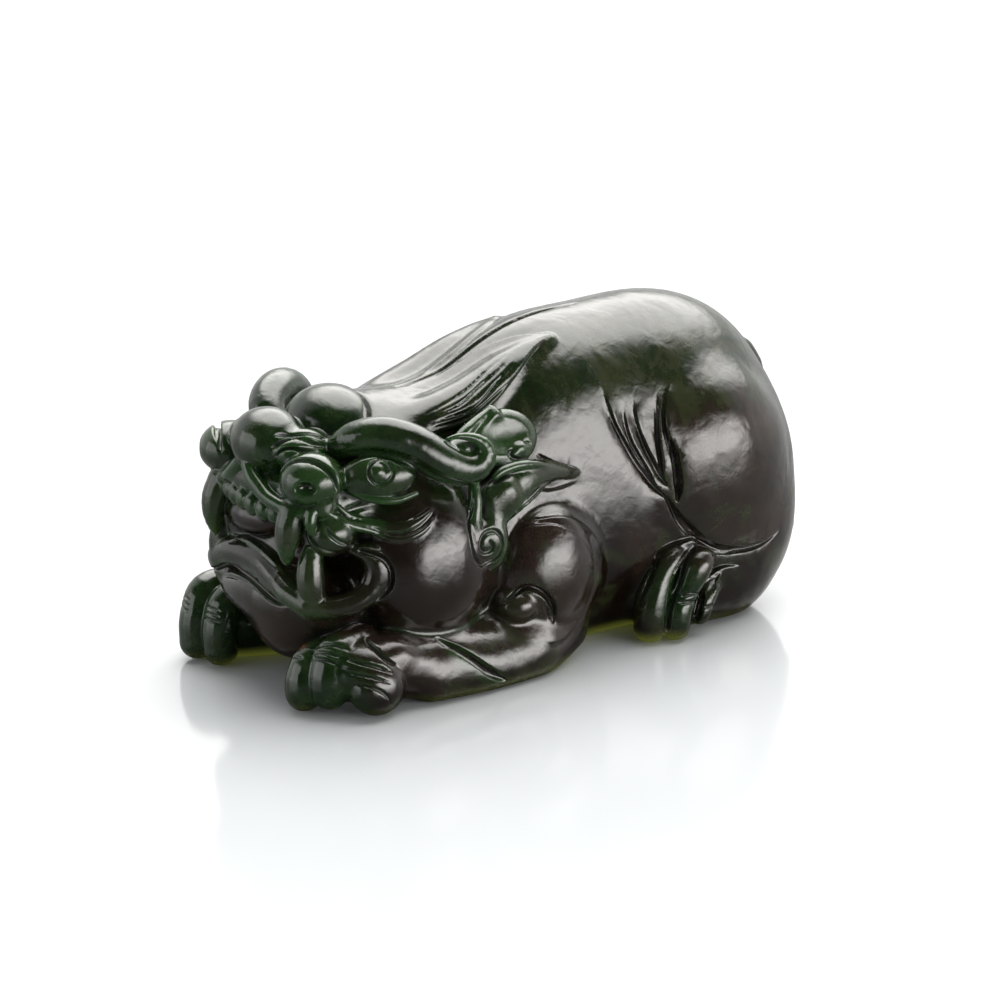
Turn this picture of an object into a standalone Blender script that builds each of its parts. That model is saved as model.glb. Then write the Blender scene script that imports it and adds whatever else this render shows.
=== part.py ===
"""A recumbent mythical beast carved from one block of nephrite jade.

Frame: metres, +Z up, origin on the resting plane under the middle of the
body. The beast looks along -Y and its left side is +X. The carving is one
stone, so the model is one solid: every form below is a volume of that same
stone, and the forms are fused before the underside is ground flat.
"""

import bpy
import math
from mathutils import Vector, Euler

MM = 0.001

# Driving dimensions, millimetres
LENGTH = 100.0          # front toes to back of the rump
REST_Z = 0.0            # plane of the ground underside
FUSE_VOXEL = 0.75       # grid used to fuse the forms
FUSE_SMOOTH = 3         # smoothing passes after fusing
TARGET_TRIANGLES = 10600
MOUTH_RADIUS = 3.0      # drilled corner of the mouth

# name, both sides, centre, radii, tilt in degrees about x, y, z
MASSES = [
    ("torso", False, (0, 4, 20.0), (16.5, 27, 25.0), (0, 0, 0)),
    ("chest", False, (0, -12, 18.5), (16.0, 16, 20.0), (0, 0, 0)),
    ("withers", False, (0, 8, 35.2), (12.5, 20, 13.2), (8, 0, 0)),
    ("rump", False, (0, 25.6, 21.8), (18.2, 24.6, 26.4), (0, 0, 0)),
    ("flank", True, (6.4, 30.8, 18.6), (11.4, 17.2, 16.4), (0, 0, 0)),
    ("croup", False, (0, 24.0, 36.2), (11.2, 16.5, 10.2), (0, 0, 0)),
    ("haunch", True, (12.3, 28.0, 26.0), (8.7, 13.4, 13.4), (-14, 0, 0)),
    ("hock", True, (11.4, 33.5, 10.8), (6.5, 10.8, 10.6), (0, 0, 0)),
    ("skull", False, (0, -26.6, 27.3), (15.0, 13.0, 13.3), (0, 0, 0)),
    ("cheek", True, (12.0, -23.3, 18.3), (8.6, 11.8, 11.6), (-12, 0, 8)),
    ("cheek_top", True, (10.6, -23.4, 22.2), (8.6, 11.2, 10.2), (0, 0, 0)),
    ("muzzle", False, (0, -36.5, 29.4), (13.2, 8.0, 6.4), (0, 0, 0)),
    ("forehead", False, (0, -31.2, 37.8), (7.2, 6.6, 5.8), (0, 0, 0)),
    ("nose", False, (0.2, -42.1, 37.2), (5.5, 5.3, 4.9), (-8, 0, 0)),
    ("nose_wing", True, (5.4, -39.8, 36.8), (3.2, 4.8, 2.9), (0, 0, 12)),
    ("nostril", True, (10.3, -41.5, 33.7), (4.6, 4.7, 3.9), (0, 0, 0)),
    ("eye", True, (14.1, -33.0, 33.5), (2.9, 5.5, 3.2), (0, 0, -28)),
    ("upper_lip", True, (11.6, -39.4, 25.8), (3.5, 3.8, 3.3), (0, 0, 0)),
    ("jaw", False, (0, -36.8, 13.6), (12.8, 9.4, 6.2), (-14, 0, 0)),
    ("chin", False, (1.0, -38.0, 9.8), (7.8, 6.0, 5.8), (-10, 0, 0)),
    ("chin_shelf", False, (-2.0, -40.2, 13.6), (11.0, 5.4, 3.4), (0, 0, 0)),
    ("tongue", False, (-4.0, -41.0, 25.2), (6.6, 4.2, 3.2), (-6, 0, 0)),
    ("mouth_floor", False, (0, -38.6, 21.4), (11.0, 3.6, 4.6), (0, 0, 0)),
    ("near_ear", False, (15.0, -11.7, 35.6), (1.9, 6.3, 4.4), (0, -23, 0)),
    ("far_ear", False, (-15.0, -11.7, 33.0), (1.9, 6.3, 4.4), (0, 23, 0)),
    ("volute", True, (17.9, -17.3, 22.2), (2.2, 3.2, 3.8), (0, 0, 0)),
    ("shoulder_terrace", True, (13.4, -1.8, 14.2), (6.3, 9.0, 10.6), (6, 0, 0)),
    ("shoulder", True, (15.2, -4.8, 14.8), (6.6, 8.6, 9.7), (0, 0, 0)),
    ("elbow", True, (13.6, -6.8, 6.4), (6.6, 10.6, 7.0), (6, 0, 0)),
    ("elbow_knob", True, (17.2, -11.0, 11.2), (3.7, 3.4, 2.8), (0, 0, 0)),
    ("near_paw", False, (14.8, -37.2, 6.2), (6.2, 5.6, 5.0), (0, 0, 0)),
    ("near_knuckle", False, (17.3, -32.8, 7.8), (3.1, 3.8, 2.9), (-12, 0, 0)),
    ("near_toe_ball", False, (19.0, -36.6, 4.2), (3.2, 4.3, 4.1), (0, 0, 0)),
    ("far_paw", False, (-16.0, -37.8, 6.2), (6.4, 5.4, 5.0), (0, 0, 0)),
    ("hind_foot", True, (13.2, 21.6, 6.0), (5.4, 8.4, 6.6), (0, 0, 0)),
    ("hind_heel", True, (12.0, 30.0, 5.2), (5.6, 9.4, 6.0), (0, 0, 0)),
]

# name, both sides, list of x, y, z, radius
ROLLS = [
    ("crest", False, [(0, -30, 33.0, 7.6), (0, -20, 33.2, 8.0),
                      (0, -10, 33.8, 7.8), (0, 2, 37.0, 7.6)]),
    ("mane_lock", True, [(4.5, -24, 36.0, 3.6), (6.0, -18, 37.0, 4.0),
                         (6.6, -11, 39.2, 3.8), (6.4, -4, 42.6, 3.0),
                         (6.6, 3.4, 46.0, 1.0)]),
    ("near_brow", False, [(7.2, -35.2, 36.2, 1.9), (10.0, -34.2, 38.2, 2.5),
                          (13.0, -31.2, 39.0, 2.8), (15.2, -27.6, 37.6, 2.9),
                          (16.8, -24.4, 35.3, 2.9), (17.9, -21.4, 33.7, 2.6),
                          (18.8, -18.9, 33.8, 2.15), (19.3, -17.7, 35.4, 1.6),
                          (19.2, -18.2, 37.0, 1.2)]),
    ("far_brow", False, [(-6.8, -36.2, 36.8, 2.1), (-9.6, -35.6, 38.9, 2.7),
                         (-12.4, -32.2, 40.0, 3.1), (-14.8, -28.2, 39.0, 3.1),
                         (-16.8, -24.4, 34.8, 2.9), (-17.9, -21.4, 32.4, 2.6),
                         (-18.7, -19.2, 32.2, 2.1), (-19.1, -18.2, 33.6, 1.6),
                         (-19.0, -18.6, 35.0, 1.2)]),
    ("mane_tuft", True, [(16.8, -14.0, 27.4, 3.2), (16.6, -10.0, 29.0, 3.0),
                         (16.2, -5.6, 29.7, 2.2), (15.6, -1.2, 29.0, 1.4),
                         (15.0, 2.2, 28.2, 0.8)]),
    ("mouth_corner", True, [(14.8, -35.2, 22.6, 1.3), (15.4, -34.2, 20.6, 1.7),
                            (15.2, -34.8, 17.8, 1.9), (14.6, -37.2, 16.0, 1.7),
                            (13.0, -40.4, 15.3, 1.6), (10.6, -42.7, 15.5, 1.5)]),
    ("lower_lip", False, [(10.6, -42.7, 15.5, 1.5), (7.8, -43.8, 16.6, 1.8),
                          (4.0, -43.4, 18.0, 2.1), (0, -43.0, 19.2, 2.3),
                          (-4.0, -42.8, 19.4, 2.4), (-8.4, -42.8, 18.6, 2.3),
                          (-12.2, -42.2, 17.0, 2.1), (-13.8, -40.4, 16.2, 1.8)]),
    ("gum", False, [(11.5, -40.8, 30.2, 2.2), (6.5, -43.0, 31.0, 2.2),
                    (0, -43.9, 31.6, 2.2), (-6.5, -43.0, 31.0, 2.2),
                    (-11.5, -40.8, 30.2, 2.2)]),
    ("teeth", False, [(-7.6, -44.0, 29.2, 1.5), (-0.8, -45.4, 29.1, 1.6),
                      (6.0, -44.8, 28.4, 1.5)]),
    ("fang", True, [(9.2, -43.8, 29.6, 2.1), (9.4, -44.9, 27.2, 2.0),
                    (9.4, -45.3, 24.8, 1.6), (9.2, -45.3, 22.6, 1.0)]),
    ("tusk", True, [(11.3, -42.0, 16.4, 1.7), (11.3, -42.6, 18.8, 2.05),
                    (11.1, -42.5, 21.3, 1.9), (10.9, -42.1, 23.6, 1.3)]),
    ("upper_arm", True, [(16.0, -8.0, 4.2, 4.8), (16.2, -16.0, 4.6, 4.6),
                         (16.3, -25.0, 5.0, 4.7), (15.6, -33.0, 5.6, 5.0)]),
    ("forearm", True, [(14.0, 0.4, 4.0, 3.5), (16.6, -7.0, 2.8, 3.8),
                       (17.8, -16.0, 2.6, 3.8), (17.8, -26.0, 2.8, 3.4)]),
    ("far_wrist", False, [(-14.8, -37.0, 3.8, 4.2), (-13.4, -31.0, 4.0, 4.8),
                          (-13.2, -22.0, 4.2, 5.0)]),
    ("near_toe_inner", False, [(11.6, -38.0, 8.0, 2.4), (11.3, -42.4, 7.4, 2.6),
                               (11.3, -44.0, 4.6, 2.7), (11.3, -44.0, 2.8, 2.7)]),
    ("near_toe_mid", False, [(14.0, -36.0, 9.6, 2.7), (14.4, -40.4, 8.6, 2.9),
                             (14.6, -41.9, 5.6, 3.0), (14.6, -41.9, 3.8, 2.9)]),
    ("near_toe_outer", False, [(17.4, -33.2, 8.0, 2.4), (18.4, -36.8, 6.6, 2.7),
                               (18.8, -38.1, 4.6, 2.9), (18.8, -38.1, 3.8, 2.8)]),
    ("far_toe_inner", False, [(-13.0, -36.0, 9.4, 2.4), (-12.8, -40.8, 9.4, 2.7),
                              (-12.7, -42.4, 6.0, 2.7), (-12.7, -42.4, 2.5, 2.6)]),
    ("far_toe_mid", False, [(-17.0, -36.6, 10.4, 2.6), (-17.4, -41.6, 10.0, 2.7),
                            (-17.3, -43.4, 6.2, 2.7), (-17.3, -43.6, 2.6, 2.6)]),
    ("far_toe_outer", False, [(-19.6, -34.0, 8.0, 2.2), (-20.6, -38.6, 7.2, 2.3),
                              (-20.8, -39.8, 4.2, 2.3), (-20.8, -39.8, 2.2, 2.2)]),
    ("hind_toe_inner", True, [(17.0, 21.4, 13.6, 1.2), (17.4, 18.2, 12.0, 1.7),
                              (17.3, 16.0, 9.2, 2.1), (17.2, 14.7, 5.4, 2.6),
                              (17.1, 14.6, 2.3, 2.5)]),
    ("hind_toe_mid", True, [(17.6, 24.4, 12.4, 1.9), (19.0, 22.0, 11.0, 2.4),
                            (18.9, 20.0, 7.6, 2.1), (18.8, 18.5, 4.6, 2.3),
                            (18.7, 18.2, 2.1, 2.2)]),
    ("hind_toe_outer", True, [(18.0, 25.6, 6.6, 1.5), (18.7, 23.6, 5.0, 1.7),
                              (18.7, 22.8, 3.2, 1.7)]),
    ("tail", False, [(0, 46.0, 35.6, 1.5), (-1.4, 48.2, 30.0, 2.3),
                     (-2.0, 48.9, 23.0, 2.8), (-0.6, 48.4, 16.0, 2.8),
                     (2.4, 46.8, 10.0, 2.3), (4.8, 44.6, 6.4, 1.5)]),
]


def clear_scene():
    for obj in list(bpy.data.objects):
        bpy.data.objects.remove(obj, do_unlink=True)


def collection(name):
    found = bpy.data.collections.new(name)
    bpy.context.scene.collection.children.link(found)
    return found


def move_to(obj, target):
    for owner in list(obj.users_collection):
        owner.objects.unlink(obj)
    target.objects.link(obj)


def mass(name, centre, radii, tilt, target):
    bpy.ops.mesh.primitive_uv_sphere_add(segments=40, ring_count=20, radius=1.0)
    obj = bpy.context.object
    obj.name = name
    turn = Euler([math.radians(a) for a in tilt]).to_matrix().to_4x4()
    for vertex in obj.data.vertices:
        point = Vector([c * r * MM for c, r in zip(vertex.co, radii)])
        vertex.co = turn @ point + Vector(centre) * MM
    move_to(obj, target)
    return obj


def smooth_path(points, steps=8):
    """Points along a Catmull-Rom curve through x, y, z, radius."""
    ends = [points[0]] + list(points) + [points[-1]]
    found = []
    for i in range(1, len(ends) - 2):
        p0, p1, p2, p3 = (ends[i + k] for k in (-1, 0, 1, 2))
        for s in range(steps):
            t = s / steps
            found.append([
                0.5 * (2 * b + (c - a) * t + (2 * a - 5 * b + 4 * c - d) * t * t
                       + (3 * b - a - 3 * c + d) * t ** 3)
                for a, b, c, d in zip(p0, p1, p2, p3)])
    found.append(list(points[-1]))
    return found


def roll(name, points, target):
    """A tapered roll of stone with rounded ends."""
    path = smooth_path(points)
    data = bpy.data.curves.new(name, "CURVE")
    data.dimensions = "3D"
    data.bevel_depth = MM
    data.bevel_resolution = 4
    data.use_fill_caps = True
    spline = data.splines.new("POLY")
    spline.points.add(len(path) - 1)
    for knot, (x, y, z, r) in zip(spline.points, path):
        knot.co = (x * MM, y * MM, z * MM, 1.0)
        knot.radius = r
    curve = bpy.data.objects.new(name + "_path", data)
    target.objects.link(curve)
    bpy.context.view_layer.update()
    graph = bpy.context.evaluated_depsgraph_get()
    mesh = bpy.data.meshes.new_from_object(curve.evaluated_get(graph))
    bpy.data.objects.remove(curve, do_unlink=True)
    obj = bpy.data.objects.new(name, mesh)
    target.objects.link(obj)
    made = [obj]
    for x, y, z, r in (path[0], path[-1]):
        made.append(mass(name + "_end", (x, y, z), (r, r, r), (0, 0, 0), target))
    return made


def mirrored(points):
    return [(-p[0],) + tuple(p[1:]) for p in points]


def join(objects, name):
    for obj in bpy.context.selected_objects:
        obj.select_set(False)
    for obj in objects:
        obj.select_set(True)
    bpy.context.view_layer.objects.active = objects[0]
    bpy.ops.object.join()
    joined = bpy.context.object
    joined.name = name
    joined.data.name = name
    return joined


def jade():
    material = bpy.data.materials.new("nephrite_jade")
    material.use_nodes = True
    shader = material.node_tree.nodes["Principled BSDF"]
    shader.inputs["Base Color"].default_value = (0.018, 0.042, 0.024, 1.0)
    shader.inputs["Roughness"].default_value = 0.16
    shader.inputs["Metallic"].default_value = 0.0
    shader.inputs["IOR"].default_value = 1.62
    return material


clear_scene()
stone = collection("jade_beast")
cutters = collection("cutters")
cutters.hide_render = True

forms = []
for name, both, centre, radii, tilt in MASSES:
    forms.append(mass(name, centre, radii, tilt, stone))
    if both:
        forms.append(mass(name, (-centre[0],) + centre[1:], radii,
                          (tilt[0], -tilt[1], -tilt[2]), stone))
for name, both, points in ROLLS:
    forms += roll(name, points, stone)
    if both:
        forms += roll(name, mirrored(points), stone)

carving = join(forms, "jade_carving")

fuse = carving.modifiers.new("fuse", "REMESH")
fuse.mode = "VOXEL"
fuse.voxel_size = FUSE_VOXEL * MM
fuse.adaptivity = 0.0
soften = carving.modifiers.new("soften", "SMOOTH")
soften.factor = 0.5
soften.iterations = FUSE_SMOOTH

bpy.context.view_layer.update()
graph = bpy.context.evaluated_depsgraph_get()
fused = bpy.data.meshes.new_from_object(carving.evaluated_get(graph))
fused.name = "jade_carving"
triangles = sum(len(p.vertices) - 2 for p in fused.polygons)
carving.modifiers.clear()
carving.data = fused

thin = carving.modifiers.new("thin", "DECIMATE")
thin.decimate_type = "COLLAPSE"
thin.ratio = TARGET_TRIANGLES / triangles
thin.use_collapse_triangulate = True

# the underside is ground flat
bpy.ops.mesh.primitive_cube_add(size=1.0)
ground = bpy.context.object
ground.name = "ground_cut"
for vertex in ground.data.vertices:
    vertex.co = Vector((vertex.co.x * 80 * MM, vertex.co.y * 140 * MM,
                        (vertex.co.z * 20 - 10 + REST_Z) * MM))
move_to(ground, cutters)

# the drilled corners of the mouth, one each side
drills = []
for side in (1, -1):
    bpy.ops.mesh.primitive_uv_sphere_add(segments=20, ring_count=12, radius=1.0)
    drill = bpy.context.object
    drill.name = "mouth_drill_" + ("left" if side > 0 else "right")
    for vertex in drill.data.vertices:
        vertex.co = Vector((vertex.co.x * 5.4 + side * 15.0,
                            vertex.co.y * 4.2 - 39.2,
                            vertex.co.z * MOUTH_RADIUS + 20.6)) * MM
    move_to(drill, cutters)
    drills.append(drill)

for cutter in [ground] + drills:
    cutter.hide_render = True
    cutter.display_type = "WIRE"
    cut = carving.modifiers.new(cutter.name, "BOOLEAN")
    cut.operation = "DIFFERENCE"
    cut.solver = "EXACT"
    cut.object = cutter

carving.data.materials.clear()
carving.data.materials.append(jade())
carving.data.shade_smooth()
carving.data.set_sharp_from_angle(angle=math.radians(50))
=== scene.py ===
"""The jade beast's finished surface: the stone is built as a field of clay in
millimetres, cut and polished in code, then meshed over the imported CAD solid."""
import math
import time
import bpy
import bmesh
import numpy as np
from mathutils import Vector, Matrix


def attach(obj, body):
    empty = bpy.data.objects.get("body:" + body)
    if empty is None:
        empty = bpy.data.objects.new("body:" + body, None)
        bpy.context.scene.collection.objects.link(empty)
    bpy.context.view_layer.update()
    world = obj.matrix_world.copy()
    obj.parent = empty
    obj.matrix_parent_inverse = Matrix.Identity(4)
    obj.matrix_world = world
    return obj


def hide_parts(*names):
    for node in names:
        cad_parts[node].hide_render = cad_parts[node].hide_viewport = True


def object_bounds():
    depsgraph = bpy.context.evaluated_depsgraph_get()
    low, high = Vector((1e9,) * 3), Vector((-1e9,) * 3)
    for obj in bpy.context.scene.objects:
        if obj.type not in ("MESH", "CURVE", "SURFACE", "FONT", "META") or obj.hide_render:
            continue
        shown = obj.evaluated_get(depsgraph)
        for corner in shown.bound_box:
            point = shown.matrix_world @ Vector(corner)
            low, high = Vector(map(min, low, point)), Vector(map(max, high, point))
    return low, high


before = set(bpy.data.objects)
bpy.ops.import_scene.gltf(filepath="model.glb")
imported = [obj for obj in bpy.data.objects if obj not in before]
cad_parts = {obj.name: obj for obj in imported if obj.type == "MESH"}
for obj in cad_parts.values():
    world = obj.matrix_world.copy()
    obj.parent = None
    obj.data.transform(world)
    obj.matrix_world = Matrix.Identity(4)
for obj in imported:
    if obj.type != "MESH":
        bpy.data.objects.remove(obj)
cad_lo, cad_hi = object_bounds()
T0 = time.time()
VOXEL = 0.21          # mm
FINAL_TRIANGLES = 196000
CAD_LENGTH, CAD_MIDDLE = 98.86, (-0.38, 2.12)   # mm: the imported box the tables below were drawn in


def log(*words):
    print("[jade %6.1f s]" % (time.time() - T0), *words, flush=True)


# ---------------------------------------------------------------- the view
AZIMUTH, ELEVATION, DISTANCE = 53.0, 17.0, 610.0      # degrees, degrees, mm
TARGET = np.array([0.0, -0.6, 20.7])
PER_MM = 6.7                                          # view units per mm at the target
_a, _e = math.radians(AZIMUTH), math.radians(ELEVATION)
BACK = np.array([math.sin(_a) * math.cos(_e), -math.cos(_a) * math.cos(_e), math.sin(_e)])
EYE_POINT = TARGET + DISTANCE * BACK
RIGHT = np.array([math.cos(_a), math.sin(_a), 0.0])
UP = np.cross(RIGHT, -BACK)
FOCAL = DISTANCE * PER_MM


# ---------------------------------------------------------------- the clay
def smin(a, b, k):
    if k <= 0:
        return np.minimum(a, b)
    h = np.maximum(k - np.abs(a - b), 0) * (1.0 / k)
    return np.minimum(a, b) - h * h * (k * 0.25)


def smax(a, b, k):
    return -smin(-a, -b, k)


def turn(tilt):
    x, y, z = (math.radians(t) for t in tilt)
    rx = np.array([[1, 0, 0], [0, math.cos(x), -math.sin(x)], [0, math.sin(x), math.cos(x)]])
    ry = np.array([[math.cos(y), 0, math.sin(y)], [0, 1, 0], [-math.sin(y), 0, math.cos(y)]])
    rz = np.array([[math.cos(z), -math.sin(z), 0], [math.sin(z), math.cos(z), 0], [0, 0, 1]])
    return rz @ ry @ rx


def spline(points, step=0.6):
    """Points along a Catmull-Rom curve, about step apart."""
    p = np.asarray(points, float)
    if len(p) < 2:
        return p
    ends = np.vstack([2 * p[0] - p[1], p, 2 * p[-1] - p[-2]])
    found = []
    for i in range(1, len(ends) - 2):
        p0, p1, p2, p3 = ends[i - 1:i + 3]
        n = max(2, int(np.linalg.norm((p2 - p1)[:3]) / step))
        t = (np.arange(n) / n)[:, None]
        found.append(0.5 * (2 * p1 + (p2 - p0) * t + (2 * p0 - 5 * p1 + 4 * p2 - p3) * t ** 2
                            + (3 * p1 - p0 - 3 * p2 + p3) * t ** 3))
    found.append(p[-1:])
    return np.vstack(found)


def even(N, rounds):
    """Directions along a path, evened out with their neighbours."""
    N = N.copy()
    for _ in range(rounds):
        if len(N) > 2:
            N[1:-1] = 0.25 * N[:-2] + 0.5 * N[1:-1] + 0.25 * N[2:]
    return N / np.maximum(np.linalg.norm(N, axis=1, keepdims=True), 1e-6)


class Clay:
    FAR = 6.0

    def __init__(self, lo, hi, h):
        self.h = h
        self.lo = np.array(lo, float)
        n = [int(math.ceil((hi[i] - lo[i]) / h)) + 1 for i in range(3)]
        self.n = n
        self.ax = [(lo[i] + h * np.arange(n[i])).astype(np.float32) for i in range(3)]
        self.f = np.full(n, self.FAR, np.float32)

    def window(self, lo, hi):
        sl, co = [], []
        for i in range(3):
            a = max(0, int(math.floor((lo[i] - self.lo[i]) / self.h)))
            b = min(self.n[i], int(math.ceil((hi[i] - self.lo[i]) / self.h)) + 2)
            if b <= a:
                return None, None
            sl.append(slice(a, b))
            shape = [1, 1, 1]
            shape[i] = b - a
            co.append(self.ax[i][a:b].reshape(shape))
        return tuple(sl), co

    # ---- reading the field
    def sample(self, P):
        P = np.atleast_2d(P)
        g = (P - self.lo) / self.h
        g = np.clip(g, 0, np.array(self.n) - 1.001)
        i = g.astype(int)
        t = g - i
        f = self.f
        x, y, z = i.T
        a, b, c = t.T
        return (((f[x, y, z] * (1 - a) + f[x + 1, y, z] * a) * (1 - b)
                 + (f[x, y + 1, z] * (1 - a) + f[x + 1, y + 1, z] * a) * b) * (1 - c)
                + ((f[x, y, z + 1] * (1 - a) + f[x + 1, y, z + 1] * a) * (1 - b)
                   + (f[x, y + 1, z + 1] * (1 - a) + f[x + 1, y + 1, z + 1] * a) * b) * c)

    def slope(self, P, e=None):
        e = e or max(0.5, self.h)
        P = np.atleast_2d(P)
        g = np.stack([self.sample(P + np.eye(3)[i] * e) - self.sample(P - np.eye(3)[i] * e)
                      for i in range(3)], 1)
        return g / np.maximum(np.linalg.norm(g, axis=1, keepdims=True), 1e-6)

    def snap(self, P, rounds=6):
        P = np.array(P, float)
        for _ in range(rounds):
            n = self.slope(P)
            P -= np.clip(self.sample(P), -1.5, 1.5)[:, None] * n * 0.8
        return P

    def laid(self, points, step, smooth=3):
        """A spline laid on the clay, evened out so that nothing already carved there makes it jump."""
        P = spline(np.asarray(points, float)[:, :3], step)
        P = self.snap(P)
        for _ in range(smooth):
            if len(P) > 4:
                P[1:-1] = 0.25 * P[:-2] + 0.5 * P[1:-1] + 0.25 * P[2:]
        return P

    # ---- adding and taking stone
    def put(self, sl, d, k, take=False):
        if take:
            self.f[sl] = smax(self.f[sl], -d, k)
        else:
            self.f[sl] = smin(self.f[sl], d, k)

    def mass(self, centre, radii, tilt=(0, 0, 0), k=2.0, take=False, both=False):
        if both:
            self.mass((-centre[0],) + tuple(centre[1:]), radii, (tilt[0], -tilt[1], -tilt[2]), k, take)
        r = np.asarray(radii, float)
        R = turn(tilt)
        ext = np.sqrt(((R * r) ** 2).sum(1)) + k + 2.0
        sl, co = self.window(np.asarray(centre) - ext, np.asarray(centre) + ext)
        if sl is None:
            return
        q = [c - float(o) for c, o in zip(co, centre)]
        k0 = k1 = 0
        for i in range(3):
            u = q[0] * R[0, i] + q[1] * R[1, i] + q[2] * R[2, i]
            k0 = k0 + (u / r[i]) ** 2
            k1 = k1 + (u / r[i] ** 2) ** 2
        k0 = np.sqrt(k0)
        d = k0 * (k0 - 1) / np.maximum(np.sqrt(k1), 1e-6)
        self.put(sl, d.astype(np.float32), k, take)

    def roll(self, points, k=1.0, take=False, both=False, flat=None, way=None, step=0.7, raw=False):
        """A tapered roll through x, y, z, r. flat below 1 thins it, above 1 deepens it, along way (a direction, or 'n' for the clay's own normal)."""
        if both:
            self.roll([(-p[0],) + tuple(p[1:]) for p in points], k, take, False, flat,
                      (-way[0],) + tuple(way[1:]) if isinstance(way, (tuple, list)) else way, step, raw)
        path = np.asarray(points, float) if raw else spline(points, step)
        rmax = path[:, 3].max()
        pad = (rmax * max(1.0, flat or 1.0)) + k + 1.2
        lo, hi = path[:, :3].min(0) - pad, path[:, :3].max(0) + pad
        sl, co = self.window(lo, hi)
        if sl is None:
            return
        D = np.full([s.stop - s.start for s in sl], 9.0, np.float32)
        normals = None
        if flat:
            if way == "n":
                mid = (path[1:, :3] + path[:-1, :3]) / 2
                normals = even(self.slope(mid, 0.9), 4)
            else:
                w = np.asarray(way, float)
                normals = np.tile(w / np.linalg.norm(w), (len(path) - 1, 1))
        for i in range(len(path) - 1):
            a, b = path[i, :3], path[i + 1, :3]
            ra, rb = path[i, 3], path[i + 1, 3]
            if max(ra, rb) <= 0:
                continue
            pd = max(ra, rb) * max(1.0, flat or 1.0) + k + 1.0
            s2, c2 = self.window(np.minimum(a, b) - pd, np.maximum(a, b) + pd)
            if s2 is None:
                continue
            ab = b - a
            L = max(float(ab @ ab), 1e-9)
            q = [c - float(o) for c, o in zip(c2, a)]
            t = np.clip((q[0] * ab[0] + q[1] * ab[1] + q[2] * ab[2]) / L, 0, 1)
            x, y, z = (q[j] - t * ab[j] for j in range(3))
            r = ra + t * (rb - ra)
            if flat:
                n = normals[i]
                dot = x * n[0] + y * n[1] + z * n[2]
                g = 1.0 / flat - 1.0
                sx, sy, sz = x + g * dot * n[0], y + g * dot * n[1], z + g * dot * n[2]
                m1 = np.sqrt(sx * sx + sy * sy + sz * sz)
                dot2 = dot / flat
                tx, ty, tz = sx + g * dot2 * n[0], sy + g * dot2 * n[1], sz + g * dot2 * n[2]
                m2 = np.sqrt(tx * tx + ty * ty + tz * tz)
                d = (m1 - r) * m1 / np.maximum(m2, 1e-6)
                d = np.where(m1 < 1e-4, -r * min(1.0, flat), d)
            else:
                d = np.sqrt(x * x + y * y + z * z) - r
            local = tuple(slice(s2[j].start - sl[j].start, s2[j].stop - sl[j].start) for j in range(3))
            D[local] = np.minimum(D[local], d)
        self.put(sl, D, k, take)

    def line(self, points, width, depth, k=0.15, both=False, ends=(0.0, 0.0), raise_=False, snap=True, share=(0.25, 0.25), step=0.5):
        """A cut, or a raised bead, along points laid on the surface. ends are the sizes left at the two ends, as shares; share is how much of the length each end tapers over."""
        if both:
            self.line([(-p[0],) + tuple(p[1:]) for p in points], width, depth, k, False, ends, raise_, True, share, step)
        P = self.laid(points, step) if snap else spline(np.asarray(points, float)[:, :3], step)
        s = np.concatenate([[0], np.cumsum(np.linalg.norm(np.diff(P, axis=0), axis=1))])
        s /= max(s[-1], 1e-6)
        size = np.ones(len(P))
        if share[0] > 0:
            size *= ends[0] + (1 - ends[0]) * np.clip(s / share[0], 0, 1) ** 0.7
        if share[1] > 0:
            size *= ends[1] + (1 - ends[1]) * np.clip((1 - s) / share[1], 0, 1) ** 0.7
        r = np.maximum(width / 2 * size, 0.02)
        path = np.column_stack([P, r])
        self.roll(path, k, not raise_, False, flat=depth / (width / 2), way="n", raw=True)

    def lip(self, points, high, low, reach, reach_low=None, both=False, side=1, snap=True, share=(0.2, 0.2)):
        """A carved edge: the clay rises by high on one side of the line and sinks by low on the other, fading over reach."""
        if both:
            self.lip([(-p[0],) + tuple(p[1:]) for p in points], high, low, reach, reach_low, False, -side, True, share)
        reach_low = reach_low or reach
        P = self.laid(points, 0.6) if snap else spline(np.asarray(points, float)[:, :3], 0.6)
        N = even(self.slope(P, 0.9), 4)
        s = np.concatenate([[0], np.cumsum(np.linalg.norm(np.diff(P, axis=0), axis=1))])
        s /= max(s[-1], 1e-6)
        amp = np.ones(len(P))
        if share[0] > 0:
            amp *= np.clip(s / share[0], 0, 1)
        if share[1] > 0:
            amp *= np.clip((1 - s) / share[1], 0, 1)
        amp = amp * amp * (3 - 2 * amp)
        pad = 2.5 * max(reach, reach_low)
        sl, co = self.window(P.min(0) - pad, P.max(0) + pad)
        if sl is None:
            return
        shape = [q.stop - q.start for q in sl]
        best = np.full(shape, 1e9, np.float32)
        lift = np.zeros(shape, np.float32)
        for i in range(len(P) - 1):
            a, b = P[i], P[i + 1]
            s2, c2 = self.window(np.minimum(a, b) - pad, np.maximum(a, b) + pad)
            if s2 is None:
                continue
            ab = b - a
            L = max(float(ab @ ab), 1e-9)
            n = N[i] + N[i + 1]
            n /= np.linalg.norm(n)
            across = np.cross(n, ab)
            across /= max(np.linalg.norm(across), 1e-9)
            across *= side
            q = [c - float(o) for c, o in zip(c2, a)]
            t0 = (q[0] * ab[0] + q[1] * ab[1] + q[2] * ab[2]) / L
            t = np.clip(t0, 0, 1)
            x, y, z = (q[j] - t * ab[j] for j in range(3))
            d2 = x * x + y * y + z * z
            w = x * across[0] + y * across[1] + z * across[2]
            v = amp[i] + t * (amp[i + 1] - amp[i])
            fade = np.exp(-np.sqrt(d2) / np.where(w > 0, reach, reach_low))
            sgn = np.tanh(w / 0.18)
            value = v * fade * np.where(sgn > 0, high * sgn, low * sgn)
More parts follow.
